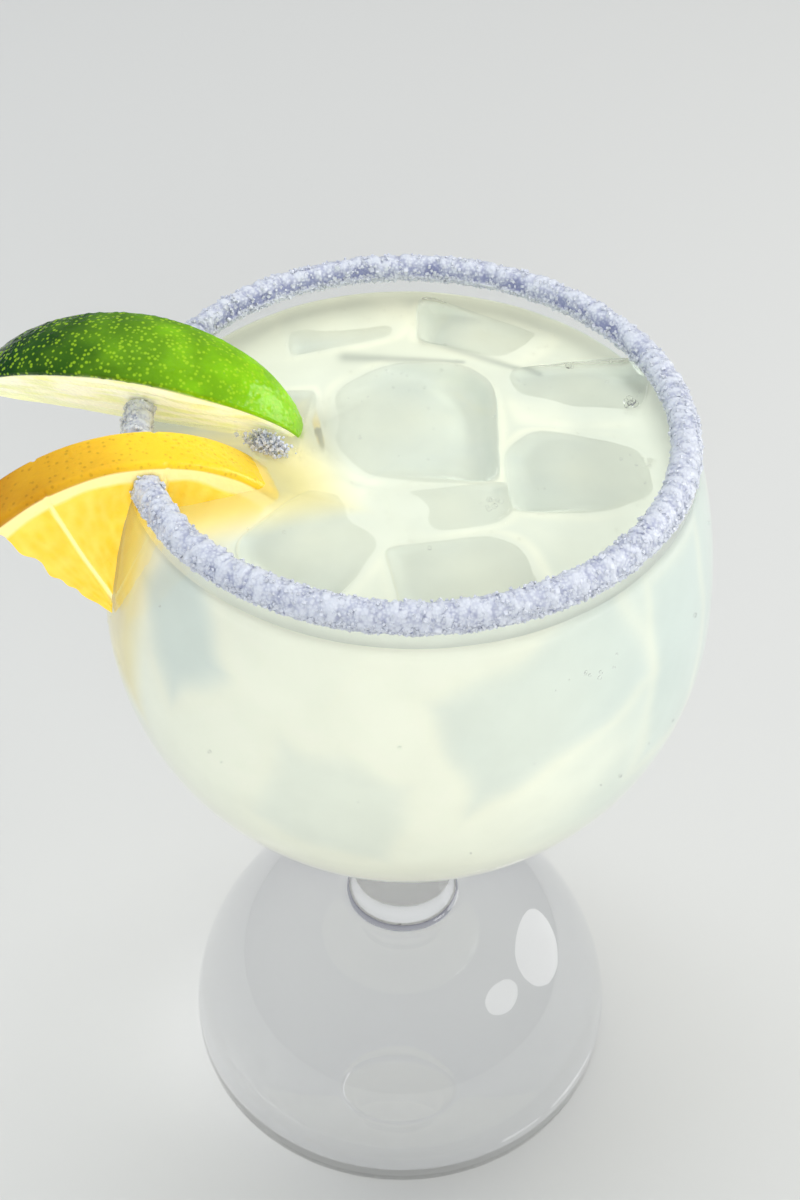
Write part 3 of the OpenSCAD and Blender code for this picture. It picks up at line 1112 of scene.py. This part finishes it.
@dataclass
class LemonSlice:
    """A quarter of a round lemon slice, standing on its point, slit over the wall."""

    goblet: Goblet
    radius: float = 38.0
    thick: float = 10.0
    angle: float = 89.0
    edge: float = 1.2
    cover: float = 3.4
    out: float = 4.6
    at: float = 200.5
    roll: float = 8.0
    pore: float = 1.3
    slot_gap: float = 0.3
    slot_reach: float = 30.0
    slot_shift: float = -5.0
    webs: tuple[float, ...] = (-27.0, 8.0)
    sac_along: float = 0.28
    sac_round: float = 17.0
    sac_deep: float = 0.8

    def turning(self) -> Array:
        """The slice's turn as a matrix."""
        return turned(z=self.at - 180.0) @ turned(y=self.roll)

    def middle(self) -> Array:
        """Where the slice's point is."""
        flat = np.array([-(self.goblet.rim_r + self.out), 0.0, 0.0])
        rise = self.goblet.height + self.cover - self.radius
        return turned(z=self.at - 180.0) @ flat + [0.0, 0.0, rise]

    def local(self, points: Array) -> Array:
        """Carry places in the frame into the slice's own axes."""
        return (points - self.middle()) @ self.turning()

    def away(self, points: Array) -> Array:
        """Rough distance of each place outside the slice, negative within it."""
        p = self.local(points)
        half_angle = math.radians(self.angle / 2.0)
        beyond_round = np.hypot(p[:, 0], p[:, 2]) - self.radius
        beyond_cut = (np.abs(p[:, 0]) - p[:, 2] * math.tan(half_angle)) * math.cos(half_angle)
        return np.max([beyond_round, beyond_cut, -p[:, 1], p[:, 1] - self.thick], axis=0)

    def shell(self) -> Shell:
        """A block bent into the slice.

        The first share turns from one cut side to the other, the second runs from the point
        out to the peel and the third through the thickness, which narrows at the peel's edges
        as a quarter circle. The flesh swells between its webs and is broken into juice sacs.
        """
        shares, quads = block_skin(150, 110, 24)
        noise = Noise(37)
        rho = 0.3 + (self.radius - 0.3) * (1.0 - (1.0 - shares[:, 1]) ** 1.25)
        turn = np.radians(self.angle / 2.0) * (2.0 * shares[:, 0] - 1.0)
        near = np.clip((rho - self.radius + self.edge) / self.edge, 0.0, 1.0)
        narrow = self.edge * (1.0 - np.sqrt(1.0 - near**2))
        y = narrow + (self.thick - 2.0 * narrow) * shares[:, 2]
        points = np.stack([rho * np.sin(turn), y, rho * np.cos(turn)], axis=1)
        skin = Shell(points, quads).outwards()
        normal = skin.normals()
        spot, _ = noise.cells(points, self.pore)
        pores = -0.14 * smooth(1.0 - spot / 0.5) + 0.16 * noise.fractal(points, 6.0, 2)
        web, pith = self.web_share(points), self.pith_share(points)
        sway = 0.5 * noise.value(points, 5.0)
        lane = [rho * self.sac_along, turn * self.sac_round + sway, y * self.sac_deep]
        sacs = noise.value(np.stack(lane, axis=1), 1.0)
        ragged = 0.5 * noise.value(points, 3.0) * (np.abs(2.0 * shares[:, 0] - 1.0) > 0.999)
        swell = (0.2 * sacs + 0.25) * (1.0 - web) * (1.0 - pith) - 0.3 * web + ragged
        swell = swell * smooth(rho / 6.0)
        on_peel = shares[:, 1] > 0.999
        skin.points = points + normal * np.where(on_peel, pores, swell)[:, None]
        skin.points = skin.points @ self.turning().T + self.middle()
        return skin.outwards()

    def web_share(self, p: Array) -> Array:
        """How much each place belongs to a web between two segments, or to a cut side's skin."""
        rho = np.hypot(p[:, 0], p[:, 2])
        turn = np.degrees(np.arctan2(p[:, 0], p[:, 2]))
        sway = 1.3 * Noise(41).value(p, 9.0)
        away = [np.abs(turn - web - sway) for web in self.webs]
        across = np.radians(np.min(away, axis=0)) * rho
        return 1.0 - smooth((across - 0.15) / 0.45)

    def pith_share(self, p: Array) -> Array:
        """How much each place belongs to the pith, which wobbles where it meets the flesh."""
        rho = np.hypot(p[:, 0], p[:, 2])
        wobble = Noise(43).value(p, 5.0)
        outer = smooth((rho - self.radius + 4.2 + 0.5 * wobble) / 0.8)
        centre = 1.0 - smooth((rho - 2.2 - 0.8 * wobble) / 1.2)
        return np.maximum(outer, centre)

    def build(self) -> bpy.types.Object:
        """Make the slice, slit it over the wall, and store what its finish reads."""
        lemon = make_piece("lemon", self.shell(), LemonSkinAndFlesh().material())
        middle = self.at + self.slot_shift
        cut_away(lemon, self.goblet.slot_tool(self.slot_gap, middle, self.slot_reach))
        p = self.local(mesh_points(lemon))
        rho = np.hypot(p[:, 0], p[:, 2])
        turn = np.arctan2(p[:, 0], p[:, 2])
        set_vector(lemon, "local", p)
        lane = [rho * self.sac_along, turn * self.sac_round, p[:, 1] * self.sac_deep]
        set_vector(lemon, "grain", np.stack(lane, axis=1))
        wobble = Noise(47).value(p, 6.0)
        set_value(lemon, "rind", smooth((rho - self.radius + 1.5 + 0.2 * wobble) / 0.35))
        set_value(lemon, "pith", self.pith_share(p))
        set_value(lemon, "web", self.web_share(p))
        # Painted light: the peel yellower towards its +x side, gold towards -x.
        set_value(lemon, "ripe", smooth(0.82 + p[:, 0] / 40.0 + 0.15 * wobble))
        lemon.data.set_sharp_from_angle(angle=SHARP_EDGE)
        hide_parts("lemon_slice")
        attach(lemon, BODY)
        report(lemon)
        return lemon


# ---------------------------------------------------------------- drink


@dataclass(frozen=True)
class SunkIce:
    """A cube under the surface that shows through the side of the bowl as a cooler patch."""

    turn: float
    z: float
    half_wide: float
    half_high: float
    slant: float
    clear: float
    girth_r: float = 57.0
    ragged: float = 2.2

    def beyond(self, p: Array) -> Array:
        """Distance outside the patch along the bowl, negative within it, in millimetres.

        The place round the bowl is measured along its widest girth, then turned by the slant.
        """
        turn = np.arctan2(p[:, 1], p[:, 0]) - math.radians(self.turn)
        along = self.girth_r * np.arctan2(np.sin(turn), np.cos(turn))
        up = p[:, 2] - self.z
        lean = math.radians(self.slant)
        u = np.abs(along * math.cos(lean) + up * math.sin(lean)) - self.half_wide
        v = np.abs(up * math.cos(lean) - along * math.sin(lean)) - self.half_high
        return np.maximum(u, v) + self.ragged * Noise(79).value(p, 9.0)


@dataclass(frozen=True)
class PaintedShadowLine:
    """A thin painted shadow line on the surface, where a cube stands proud of the drink."""

    start: tuple[float, float]
    end: tuple[float, float]
    half_wide: float
    shade: float

    def share(self, x: Array, y: Array) -> Array:
        """How dark the line is at each place: full along the segment, thinner to its ends."""
        a, b = np.array(self.start), np.array(self.end)
        flat = np.stack([x, y], axis=1)
        t = np.clip((flat - a) @ (b - a) / ((b - a) @ (b - a)), 0.0, 1.0)
        away = np.linalg.norm(flat - a - t[:, None] * (b - a), axis=1)
        width = self.half_wide * (0.35 + 0.65 * (1.0 - t))
        return self.shade * np.exp(-((away / width) ** 2))


@dataclass
class Drink:
    """The drink: its rippled surface, pressed in where ice floats, and its side in the bowl."""

    goblet: Goblet
    ice: IceLayer
    lime: LimeWedge
    lemon: LemonSlice
    level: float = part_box("drink")[1].z / MM
    bite: float = 0.15
    rings: int = 118
    sectors: int = 440
    upper_rows: int = 22
    lower_rows: int = 44
    climb: float = 0.8
    pocket: float = 3.0
    body: float = 0.9
    thin: float = 0.36
    reach: float = 12.0
    cream: Colour = paint(240, 244, 222)
    # open_top is painted shade: the top of the drink coloured darker than its side.
    open_top: Colour = paint(203, 209, 192)
    back: Colour = paint(206, 209, 186)
    iced: Colour = paint(199, 207, 195)
    # Colour of the painted shadow lines behind cubes that stand proud.
    painted_shadow_colour: Colour = paint(96, 108, 104)
    sunk: tuple[SunkIce, ...] = (
        SunkIce(turn=-137.0, z=163.0, half_wide=9.5, half_high=12.0, slant=38.0, clear=0.85),
        SunkIce(turn=-62.0, z=158.0, half_wide=21.0, half_high=13.0, slant=20.0, clear=0.6),
        SunkIce(turn=-103.0, z=137.0, half_wide=13.0, half_high=12.0, slant=-14.0, clear=0.35),
        SunkIce(turn=-30.0, z=150.0, half_wide=9.0, half_high=20.0, slant=-6.0, clear=0.6),
        SunkIce(turn=18.0, z=156.0, half_wide=15.0, half_high=12.0, slant=12.0, clear=0.6),
        SunkIce(turn=66.0, z=158.0, half_wide=13.0, half_high=11.0, slant=-20.0, clear=0.7),
        SunkIce(turn=112.0, z=152.0, half_wide=16.0, half_high=12.0, slant=16.0, clear=0.6),
        SunkIce(turn=151.0, z=160.0, half_wide=9.0, half_high=11.0, slant=-30.0, clear=0.5),
    )
    painted_shadow_lines: tuple[PaintedShadowLine, ...] = (
        PaintedShadowLine(start=(-13.0, 29.4), end=(9.5, 28.8), half_wide=1.7, shade=0.4),
        PaintedShadowLine(start=(2.5, 35.0), end=(24.5, 25.2), half_wide=1.5, shade=0.38),
    )
    # low is painted light: the brighter, yellower bottom of the bowl, the pale rims of sunk ice and
    # the pale ridges by floating ice.
    low: Colour = paint(253, 251, 222)
    # cool colours the sunk ice, and as painted shade the darker, bluer right side of the bowl.
    cool: Colour = paint(201, 214, 205)
    lemon_glow: Colour = paint(253, 236, 140)
    lemon_reach: float = 11.0

    def surface_z(self, x: Array, y: Array) -> Array:
        """Height of the surface: ripples, a raised skirt at the wall and ice, pockets in ice."""
        flat = np.stack([x, y, 0.0 * x], axis=1)
        ripple = 0.22 * Noise(53).fractal(flat, 14.0, 3)
        wall = self.goblet.inside_r(np.array([self.level]))[0] - np.hypot(x, y)
        away = self.ice.away(x, y)
        skirt = 0.9 * np.exp(-np.maximum(wall, 0.0) / 1.2)
        skirt = skirt + 0.3 * np.exp(-np.maximum(away, 0.0) / 2.2)
        sunk = self.pocket * smooth((-away - 0.4) / 3.5)
        uneven = 1.0 + 0.25 * Noise(59).value(flat, 9.0)
        return self.level + ripple + skirt - sunk * uneven

    def shell(self) -> Shell:
        """Surface, side and bottom in one shell: a disc of rings, then the bowl's inside."""
        edge_r = self.goblet.inside_r(np.array([self.level + self.climb]))[0] + self.bite
        top_r = edge_r * np.linspace(0.0, 1.0, self.rings + 1)[1:]
        z = np.linspace(self.level, self.goblet.belly_z, self.upper_rows)[1:]
        upper = np.stack([self.goblet.inside_r(z) + self.bite, z], axis=1)
        g = self.goblet
        lower = g.lower_bowl(g.belly_r - g.wall + self.bite, g.bowl_drop - g.floor_t + self.bite,
                             1.0, self.lower_rows)[1:]
        floor_z = g.belly_z - g.bowl_drop + g.floor_t - self.bite
        disc = np.stack([top_r, np.full(len(top_r), self.level + self.climb)], axis=1)
        outline = np.vstack([[0.0, self.level], disc, upper, lower, [0.0, floor_z]])
        shell = revolved(outline, self.sectors)
        count = self.rings * self.sectors
        surface = np.r_[0:count, len(shell.points) - 2]
        x, y = shell.points[surface, 0], shell.points[surface, 1]
        shell.points[surface, 2] = self.surface_z(x, y)
        return shell

    def tints(self, p: Array) -> Array:
        """Colour at each point: cream, with painted light making it brighter and yellower low down,
        painted shade making it darker and bluer to the right and darker on top, yellower at the back
        of the top, cooler where sunk ice shows and greyer over floating ice, with painted highlights
        by the ice and painted shadow lines behind it.
        """
        noise = Noise(61)
        cloud = noise.fractal(p, 26.0, 3)[:, None]
        colour = np.tile(np.array(self.cream), (len(p), 1))
        # Painted light: brighter and yellower low down in the bowl.
        colour = mix(colour, np.array(self.low), smooth((128.0 - p[:, 2:3]) / 40.0))
        # Painted shade: darker and bluer towards +X and up.
        cool = smooth((p[:, :1] + 18.0 * cloud) / 60.0) * smooth((p[:, 2:3] - 95.0) / 30.0)
        colour = mix(colour, np.array(self.cool), cool)
        for cube in self.sunk:
            beyond = cube.beyond(p)[:, None]
            colour = mix(colour, np.array(self.cool), cube.clear * smooth(0.5 - beyond / 9.0))
            # Painted highlight: a pale rim round each sunk cube.
            edge = 0.3 * cube.clear * np.exp(-(((beyond - 1.5) / 1.8) ** 2))
            colour = mix(colour, np.array(self.low), edge)
        on_top = p[:, 2] > self.level - self.pocket * 1.4
        inner = np.hypot(p[:, 0], p[:, 1]) < self.goblet.inside_r(p[:, 2]) - 0.2
        top = (on_top & inner)[:, None]
        # Painted shade: the top of the drink darker than its side.
        colour = mix(colour, np.array(self.open_top), 0.9 * top)
        behind = smooth((p[:, 1:2] - 18.0) / 30.0) * top
        colour = mix(colour, np.array(self.back), behind)
        away = self.ice.away(p[:, 0], p[:, 1])[:, None]
        iced = smooth((0.8 - away) / 3.2) * top * (0.8 + 0.7 * noise.fractal(p, 8.0, 3)[:, None])
        colour = mix(colour, np.array(self.iced), np.clip(iced, 0.0, 1.0))
        # Painted highlight: a broken pale ridge just outside each floating cube.
        broken = np.clip(0.45 + 2.0 * noise.fractal(p, 11.0, 2)[:, None], 0.0, 1.0)
        painted_highlight_ridge = np.exp(-(((away - 0.9) / 1.0) ** 2)) * top * 0.22 * broken
        colour = mix(colour, np.array(self.low), painted_highlight_ridge)
        # Painted shadow: a thin dark line behind each cube that stands proud.
        for line in self.painted_shadow_lines:
            share = line.share(p[:, 0], p[:, 1])[:, None] * top
            colour = mix(colour, np.array(self.painted_shadow_colour), share)
        near = smooth(1.25 - self.lemon.away(p)[:, None] / self.lemon_reach)
        return mix(colour, np.array(self.lemon_glow), 0.85 * near)

    def solidity(self, p: Array) -> Array:
        """How solid the drink looks: clearer at the surface near the sunk fruit."""
        away = np.minimum(self.lime.away(p), self.lemon.away(p))
        return mix(self.body, self.thin, smooth(1.0 - away / self.reach))

    def build(self) -> bpy.types.Object:
        """Make the drink, which stands for the drink of the frame."""
        drink = make_piece("drink_body", self.shell(), CitrusDrink().material())
        p = mesh_points(drink)
        set_colour(drink, "tint", self.tints(p))
        set_value(drink, "body", self.solidity(p))
        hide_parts("drink")
        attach(drink, BODY)
        report(drink)
        return drink


# ---------------------------------------------------------------- salt


@dataclass
class SaltRim:
    """Salt crusted on the rim: a lumpy crust and the loose grains on it."""

    goblet: Goblet
    lime: LimeWedge
    lemon: LemonSlice
    out: float = 1.55
    inward: float = 1.1
    top: float = 1.3
    depth: float = 3.7
    in_depth: float = 3.6
    lump: float = 1.25
    fruit_gap: float = 0.3
    heap_at: Triple = (-26.5, 0.6, 173.2)
    heap_spread: Triple = (2.0, 0.9, 1.0)
    heap_rise: float = 0.8
    heap_turn: float = -28.0
    heap_count: int = 420
    lip_from: float = 0.4
    lip_to: float = 0.6
    lip_share: float = 0.2
    under: float = 0.12
    around: int = 1100
    across: int = 40
    grains: int = 9000

    def wall_path(self, t: Array) -> tuple[Array, Array]:
        """Place and outward direction on the glass, from the crust's outer foot to its inner.

        Args:
            t: shares from 0 to 1: up the outside to lip_from, over the lip to lip_to, then down
                the inside.

        Returns:
            Radius and height for each share, and the direction away from the glass.
        """
        g = self.goblet
        up = np.clip(t / self.lip_from, 0.0, 1.0)
        over = np.clip((t - self.lip_from) / self.lip_share, 0.0, 1.0) * np.pi
        down = np.clip((t - self.lip_to) / self.lip_from, 0.0, 1.0)
        z_out = g.height - self.depth + (g.lip_z - g.height + self.depth) * up
        z_in = g.lip_z - (g.lip_z - g.height + self.in_depth) * down
        r_out, r_in = g.outside_r(z_out), g.inside_r(z_in)
        middle, half = (r_out + r_in) / 2.0, (r_out - r_in) / 2.0
        on_lip = (t > self.lip_from) & (t < self.lip_to)
        outside = t <= self.lip_from
        r = np.where(on_lip, middle + half * np.cos(over), np.where(outside, r_out, r_in))
        z = np.where(on_lip, g.lip_z + g.lip_h * np.sin(over), np.where(outside, z_out, z_in))
        away_r = np.where(on_lip, np.cos(over), np.where(outside, 1.0, -1.0))
        away_z = np.where(on_lip, np.sin(over), 0.0)
        return np.stack([r, z], axis=1), np.stack([away_r, away_z], axis=1)

    def spread(self, turn: Array, t: Array) -> Array:
        """How much salt clings at each place, from 0 to 1.

        It thins to nothing at both feet of the crust. Round the back the top of the lip is
        rubbed nearly bare, so two rows are left.
        """
        feet = smooth(t / 0.16) * smooth((1.0 - t) / 0.14)
        back = smooth((np.sin(turn) - 0.15) / 0.5)
        bare = np.exp(-(((t - 0.6) / 0.085) ** 4)) * back
        right = 0.16 * smooth(np.cos(turn - math.radians(-5.0)) * 2.0 - 1.0)
        return feet * (1.0 - 0.6 * bare) * (1.0 - right)

    def place(self, turn: Array, t: Array, height: Array) -> Array:
        """Points at a height over the glass: radius and level turned about the axis."""
        base, away = self.wall_path(t)
        flat = base + away * height[:, None]
        return np.stack([flat[:, 0] * np.cos(turn), flat[:, 0] * np.sin(turn), flat[:, 1]], axis=1)

    def thickness(self, turn: Array, t: Array) -> Array:
        """Full thickness of the crust: more outside and on top than inside."""
        outside = t < self.lip_from
        side = np.where(outside, self.out, self.inward)
        over = np.exp(-(((t - 0.5) / 0.16) ** 2))
        swell = smooth(t / self.lip_from) ** 0.6
        return mix(side * np.where(outside, swell, 1.0), self.top, over)

    def crust(self) -> tuple[Shell, Array]:
        """Crust as patches, each with a lumpy outer skin, an inner skin on the glass and a side.

        Returns:
            The closed shell, and how far each point stands out, from 0 to 1.
        """
        noise = Noise(67)
        turn = np.linspace(0.0, 2.0 * np.pi, self.around, endpoint=False)
        t = np.linspace(0.0, 1.0, self.across)
        turns, shares = (a.ravel() for a in np.meshgrid(turn, t, indexing="ij"))
        ground = self.place(turns, shares, np.zeros_like(turns))
        amount = self.spread(turns, shares) + 0.22 * noise.fractal(ground, 3.4, 3)
        near, mark = noise.cells(ground, self.lump)
        fine, _ = noise.cells(ground + 40.0, self.lump * 0.55)
        lumps = (0.45 + 0.75 * mark) * np.sqrt(np.maximum(1.0 - (near / 0.95) ** 2, 0.0))
        lumps += 0.35 * np.sqrt(np.maximum(1.0 - fine**2, 0.0))
        height = self.thickness(turns, shares) * np.clip(0.2 + 0.62 * lumps, 0.08, 1.35)
        height = height * smooth((amount - 0.18) / 0.45) + 0.06
        outer = self.place(turns, shares, height)
        inner = self.place(turns, shares, np.full_like(turns, -self.under))
        kept = (amount > 0.2) & (self.lime.away(outer) > self.fruit_gap)
        kept &= self.lemon.away(outer) > self.fruit_gap
        kept = kept.reshape(self.around, self.across)
        number = np.arange(self.around * self.across).reshape(kept.shape)
        ahead = np.roll(number, -1, axis=0)
        corners = [number[:, :-1], ahead[:, :-1], ahead[:, 1:], number[:, 1:]]
        corners = np.stack(corners, axis=-1)
        full = kept & np.roll(kept, -1, axis=0)
        full = full[:, :-1] & full[:, 1:]
        top = corners[full]
        under = top[:, ::-1] + self.around * self.across
        sides = self.sides(corners, full)
        shell = Shell(np.vstack([outer, inner]), np.vstack([top, under, sides]))
        stand = np.concatenate([height / 1.6, np.zeros_like(height)])
        used = np.unique(shell.quads)
        renumber = np.zeros(len(shell.points), int)
        renumber[used] = np.arange(len(used))
        shell = Shell(shell.points[used], renumber[shell.quads]).outwards()
        return shell, stand[used]

    def sides(self, corners: Array, full: Array) -> Array:
        """Walls along the rims of the patches, wherever a kept cell meets a bare one."""
        count = self.around * self.across
        padded = np.pad(full, ((0, 0), (1, 1)))
        bare = (
            (~padded[:, :-2], (0, 1)), (~np.roll(full, -1, axis=0), (1, 2)),
            (~padded[:, 2:], (2, 3)), (~np.roll(full, 1, axis=0), (3, 0)),
        )
        walls = []
        for missing, (a, b) in bare:
            cells = corners[full & missing]
            first, second = cells[:, a], cells[:, b]
            walls.append(np.stack([second, first, first + count, second + count], axis=1))
        return np.vstack(walls)

    def loose(self) -> Shell:
        """Grains as small uneven blocks, thickest where the crust is, turned at random."""
        rng = np.random.default_rng(71)
        turn = rng.uniform(0.0, 2.0 * np.pi, 3 * self.grains)
        t = rng.uniform(0.04, 0.97, 3 * self.grains)
        ground = self.place(turn, t, np.zeros_like(turn))
        amount = self.spread(turn, t) + 0.22 * Noise(67).fractal(ground, 3.4, 3)
        height = self.thickness(turn, t) * rng.uniform(0.35, 1.0, len(turn)) * smooth(amount / 0.7)
        spot = self.place(turn, t, height)
        kept = amount > 0.12 + 0.3 * rng.uniform(size=len(turn))
        kept &= (self.lime.away(spot) > 0.5) & (self.lemon.away(spot) > 0.5)
        heap = rng.normal(size=(self.heap_count, 3)) * self.heap_spread + [0.0, 0.0, self.heap_rise]
        heap = heap @ turned(z=self.heap_turn).T + self.heap_at
        heap = heap[self.lime.away(heap) > 0.1]
        places = np.vstack([spot[kept][: self.grains], heap])
        shares, quads = block_skin(1, 1, 1)
        grain = Shell(2.0 * shares - 1.0, quads).outwards()
        size = rng.uniform(0.16, 0.36, (len(places), 1)) * rng.uniform(0.6, 1.2, (len(places), 3))
        return scattered(grain, places, size, random_turns(rng, len(places)))

    def build(self) -> list[bpy.types.Object]:
        """Make the crust, which stands for the salt of the frame, and its grains."""
        shell, stand = self.crust()
        crust = make_piece("salt_crust", shell, WetSalt().material("salt_crust"))
        set_value(crust, "stand", stand)
        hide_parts("salt_rim")
        loose = make_piece("salt_grains", self.loose(), WetSalt(gloss=0.25).material("salt_grain"))
        set_value(loose, "stand", np.full(len(loose.data.vertices), 0.75))
        loose.data.set_sharp_from_angle(angle=math.radians(40.0))
        for piece in (crust, loose):
            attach(piece, BODY)
            report(piece)
        return [crust, loose]


# ---------------------------------------------------------------- bubbles


@dataclass
class Bubbles:
    """Small bubbles on the drink, along the ice and the wall, and beads on the ice."""

    drink: Drink
    count: int = 260
    drops: int = 46
    reach: float = 47.5
    wall_at: float = 47.8
    clusters: tuple[tuple[float, float, float, int, float], ...] = (
        (30.2, 26.5, 0.9, 9, 0.8),
        (41.5, 15.5, 1.1, 12, 0.9),
        (43.0, -1.0, 1.0, 8, 0.6),
        (-20.0, -1.0, 1.4, 14, 0.5),
        (15.5, -14.5, 1.0, 9, 0.6),
        (-2.0, 20.0, 4.5, 12, 0.4),
    )

    def on_surface(self, rng: np.random.Generator) -> tuple[Array, Array]:
        """Places and sizes of the bubbles along the ice and the wall, and of the beads on ice."""
        r = self.reach * np.sqrt(rng.uniform(0.0, 1.0, 40 * self.count))
        a = rng.uniform(0.0, 2.0 * np.pi, len(r))
        x, y = r * np.cos(a), r * np.sin(a)
        away = self.drink.ice.away(x, y)
        edge = np.exp(-np.abs(away - 0.8) / 0.7)
        edge = edge + 0.4 * np.exp(-(self.wall_at - r) / 0.8) + 0.01
        keep = rng.uniform(size=len(r)) < 0.5 * edge
        x, y = x[keep][: self.count], y[keep][: self.count]
        size = rng.uniform(0.12, 0.42, len(x)) * rng.uniform(0.6, 1.0, len(x))
        for cx, cy, spread, count, large in self.clusters:
            x = np.append(x, cx + spread * rng.normal(size=count))
            y = np.append(y, cy + spread * rng.normal(size=count))
            size = np.append(size, large * rng.uniform(0.4, 1.0, count))
        z = self.drink.surface_z(x, y) + 0.25 * size
        z = np.where(self.drink.ice.away(x, y) < -0.5, self.drink.level + 1.2, z)
        return np.stack([x, y, z], axis=1), size

    def on_glass(self, rng: np.random.Generator) -> tuple[Array, Array]:
        """Places and sizes of the drops on the outside of the bowl."""
        near = np.radians(-57.0 + 4.0 * rng.normal(size=9))
        turn = np.append(near, rng.uniform(0.0, 2.0 * np.pi, self.drops))
        z = np.append(163.0 + 2.2 * rng.normal(size=9), rng.uniform(112.0, 172.0, self.drops))
        g = self.drink.goblet
        low = g.belly_r * np.sqrt(1.0 - (np.minimum(z - g.belly_z, 0.0) / g.bowl_drop) ** 2)
        r = np.where(z < g.belly_z, low, g.outside_r(z))
        size = rng.uniform(0.15, 0.45, len(z))
        return np.stack([r * np.cos(turn), r * np.sin(turn), z], axis=1), size

    def build(self) -> bpy.types.Object:
        """Make the bubbles and the drops in one piece."""
        rng = np.random.default_rng(73)
        pairs = zip(self.on_surface(rng), self.on_glass(rng))
        places, sizes = (np.concatenate(pair) for pair in pairs)
        shell = scattered(ball(10, 6), places, sizes)
        bubbles = make_piece("bubbles", shell, WaterBead().material())
        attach(bubbles, BODY)
        report(bubbles)
        return bubbles


# ---------------------------------------------------------------- studio


@dataclass(frozen=True)
class Lamp:
    """A soft round light that looks at the bowl: place and width in metres, power in watts."""

    name: str
    place: Triple
    size: float
    power: float
    colour: Colour = (1.0, 0.99, 0.97)
    mirrored: bool = False

    def hang(self, aim: Triple) -> None:
        """Hang the light, aimed at a place. Only a mirrored one shows in shiny surfaces."""
        data = bpy.data.lights.new(self.name, "AREA")
        data.shape = "DISK"
        data.size = self.size
        data.energy = self.power
        data.color = self.colour
        lamp = bpy.data.objects.new(self.name, data)
        bpy.context.scene.collection.objects.link(lamp)
        lamp.location = self.place
        lamp.visible_glossy = self.mirrored
        lamp.visible_transmission = self.mirrored
        lamp.rotation_mode = "QUATERNION"
        way = Vector(aim) - Vector(self.place)
        lamp.rotation_quaternion = way.to_track_quat("-Z", "Y")


@dataclass
class Studio:
    """Camera, floor and soft light."""

    eye: Triple = (0.962, -313.920, 434.148)
    aim: Triple = (-1.574, 0.0, 135.860)
    roll: float = 0.01615
    lens: float = 66.278
    floor_half: float = 6000.0
    lit_place: Triple = (0.0, 0.0, 0.13)
    lamps: tuple[Lamp, ...] = (
        Lamp("window", (1.1, 0.34, 0.42), 0.8, 5.8, mirrored=True),
        Lamp("small_window", (0.9, -0.3, 0.6), 0.4, 1.5, mirrored=True),
        Lamp("ceiling", (0.0, 0.4, 1.2), 1.0, 8.0),
        Lamp("sky_fill", (-1.1, 0.1, 0.5), 1.1, 5.0, (0.8, 0.88, 1.0)),
        Lamp("front_fill", (0.2, -1.5, 0.75), 1.2, 15.0, (1.0, 1.0, 0.98)),
    )
    sky_low: Colour = paint(164, 165, 178)
    sky_high: Colour = paint(226, 228, 234)
    sky_strength: float = 0.5

    def camera(self) -> None:
        """Set the camera at the drink's viewing angle."""
        data = bpy.data.cameras.new("camera")
        data.lens = self.lens
        data.sensor_width = 36.0
        data.clip_start, data.clip_end = 0.01, 20.0
        camera = bpy.data.objects.new("camera", data)
        bpy.context.scene.collection.objects.link(camera)
        ahead = (Vector(self.aim) - Vector(self.eye)).normalized()
        right = ahead.cross(Vector((0.0, 0.0, 1.0))).normalized()
        above = right.cross(ahead)
        side = math.cos(self.roll) * right + math.sin(self.roll) * above
        top = math.cos(self.roll) * above - math.sin(self.roll) * right
        turn = Matrix((side, top, -ahead)).transposed().to_4x4()
        camera.matrix_world = Matrix.Translation(Vector(self.eye) * MM) @ turn
        bpy.context.scene.camera = camera

    def floor(self) -> None:
        """Lay the plain floor."""
        h = self.floor_half
        corners = np.array([[-h, -h, 0.0], [h, -h, 0.0], [h, h, 0.0], [-h, h, 0.0]])
        floor = make_piece("floor", Shell(corners, np.array([[0, 1, 2, 3]])), PaleFloor().material())

    def sky(self) -> None:
        """Surround the set with even light, darker low down."""
        world = bpy.data.worlds.new("studio")
        bpy.context.scene.world = world
        world.use_nodes = True
        nodes, links = world.node_tree.nodes, world.node_tree.links
        nodes.clear()
        place = nodes.new("ShaderNodeTexCoord")
        part = nodes.new("ShaderNodeSeparateXYZ")
        ramp = nodes.new("ShaderNodeValToRGB")
        glow = nodes.new("ShaderNodeBackground")
        end = nodes.new("ShaderNodeOutputWorld")
        ramp.color_ramp.elements[0].color = (*self.sky_low, 1.0)
        ramp.color_ramp.elements[1].color = (*self.sky_high, 1.0)
        ramp.color_ramp.elements[1].position = 0.85
        glow.inputs["Strength"].default_value = self.sky_strength
        links.new(place.outputs["Generated"], part.inputs[0])
        links.new(part.outputs["Z"], ramp.inputs[0])
        links.new(ramp.outputs[0], glow.inputs[0])
        links.new(glow.outputs[0], end.inputs[0])

    def build(self) -> None:
        """Set up the whole studio and how light and colour are worked out."""
        self.camera()
        self.floor()
        self.sky()
        for lamp in self.lamps:
            lamp.hang(self.lit_place)
        scene = bpy.context.scene
        scene.view_settings.view_transform = "Standard"
        scene.cycles.max_bounces = 12
        scene.cycles.diffuse_bounces = 3
        scene.cycles.glossy_bounces = 4
        scene.cycles.transmission_bounces = 12
        scene.cycles.transparent_max_bounces = 12
        scene.cycles.caustics_reflective = False


# ---------------------------------------------------------------- the whole drink


def main() -> None:
    """Build every piece in order."""
    logging.basicConfig(level=logging.INFO, format="%(name)s: %(message)s")
    Studio().build()
    goblet = Goblet()
    goblet.build()
    lime = LimeWedge(goblet)
    lime.build()
    lemon = LemonSlice(goblet)
    lemon.build()
    ice = IceLayer(level=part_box("drink")[1].z / MM)
    ice.build()
    drink = Drink(goblet, ice, lime, lemon)
    drink.build()
    SaltRim(goblet, lime, lemon).build()
    Bubbles(drink).build()


if __name__ == "__main__":
    main()
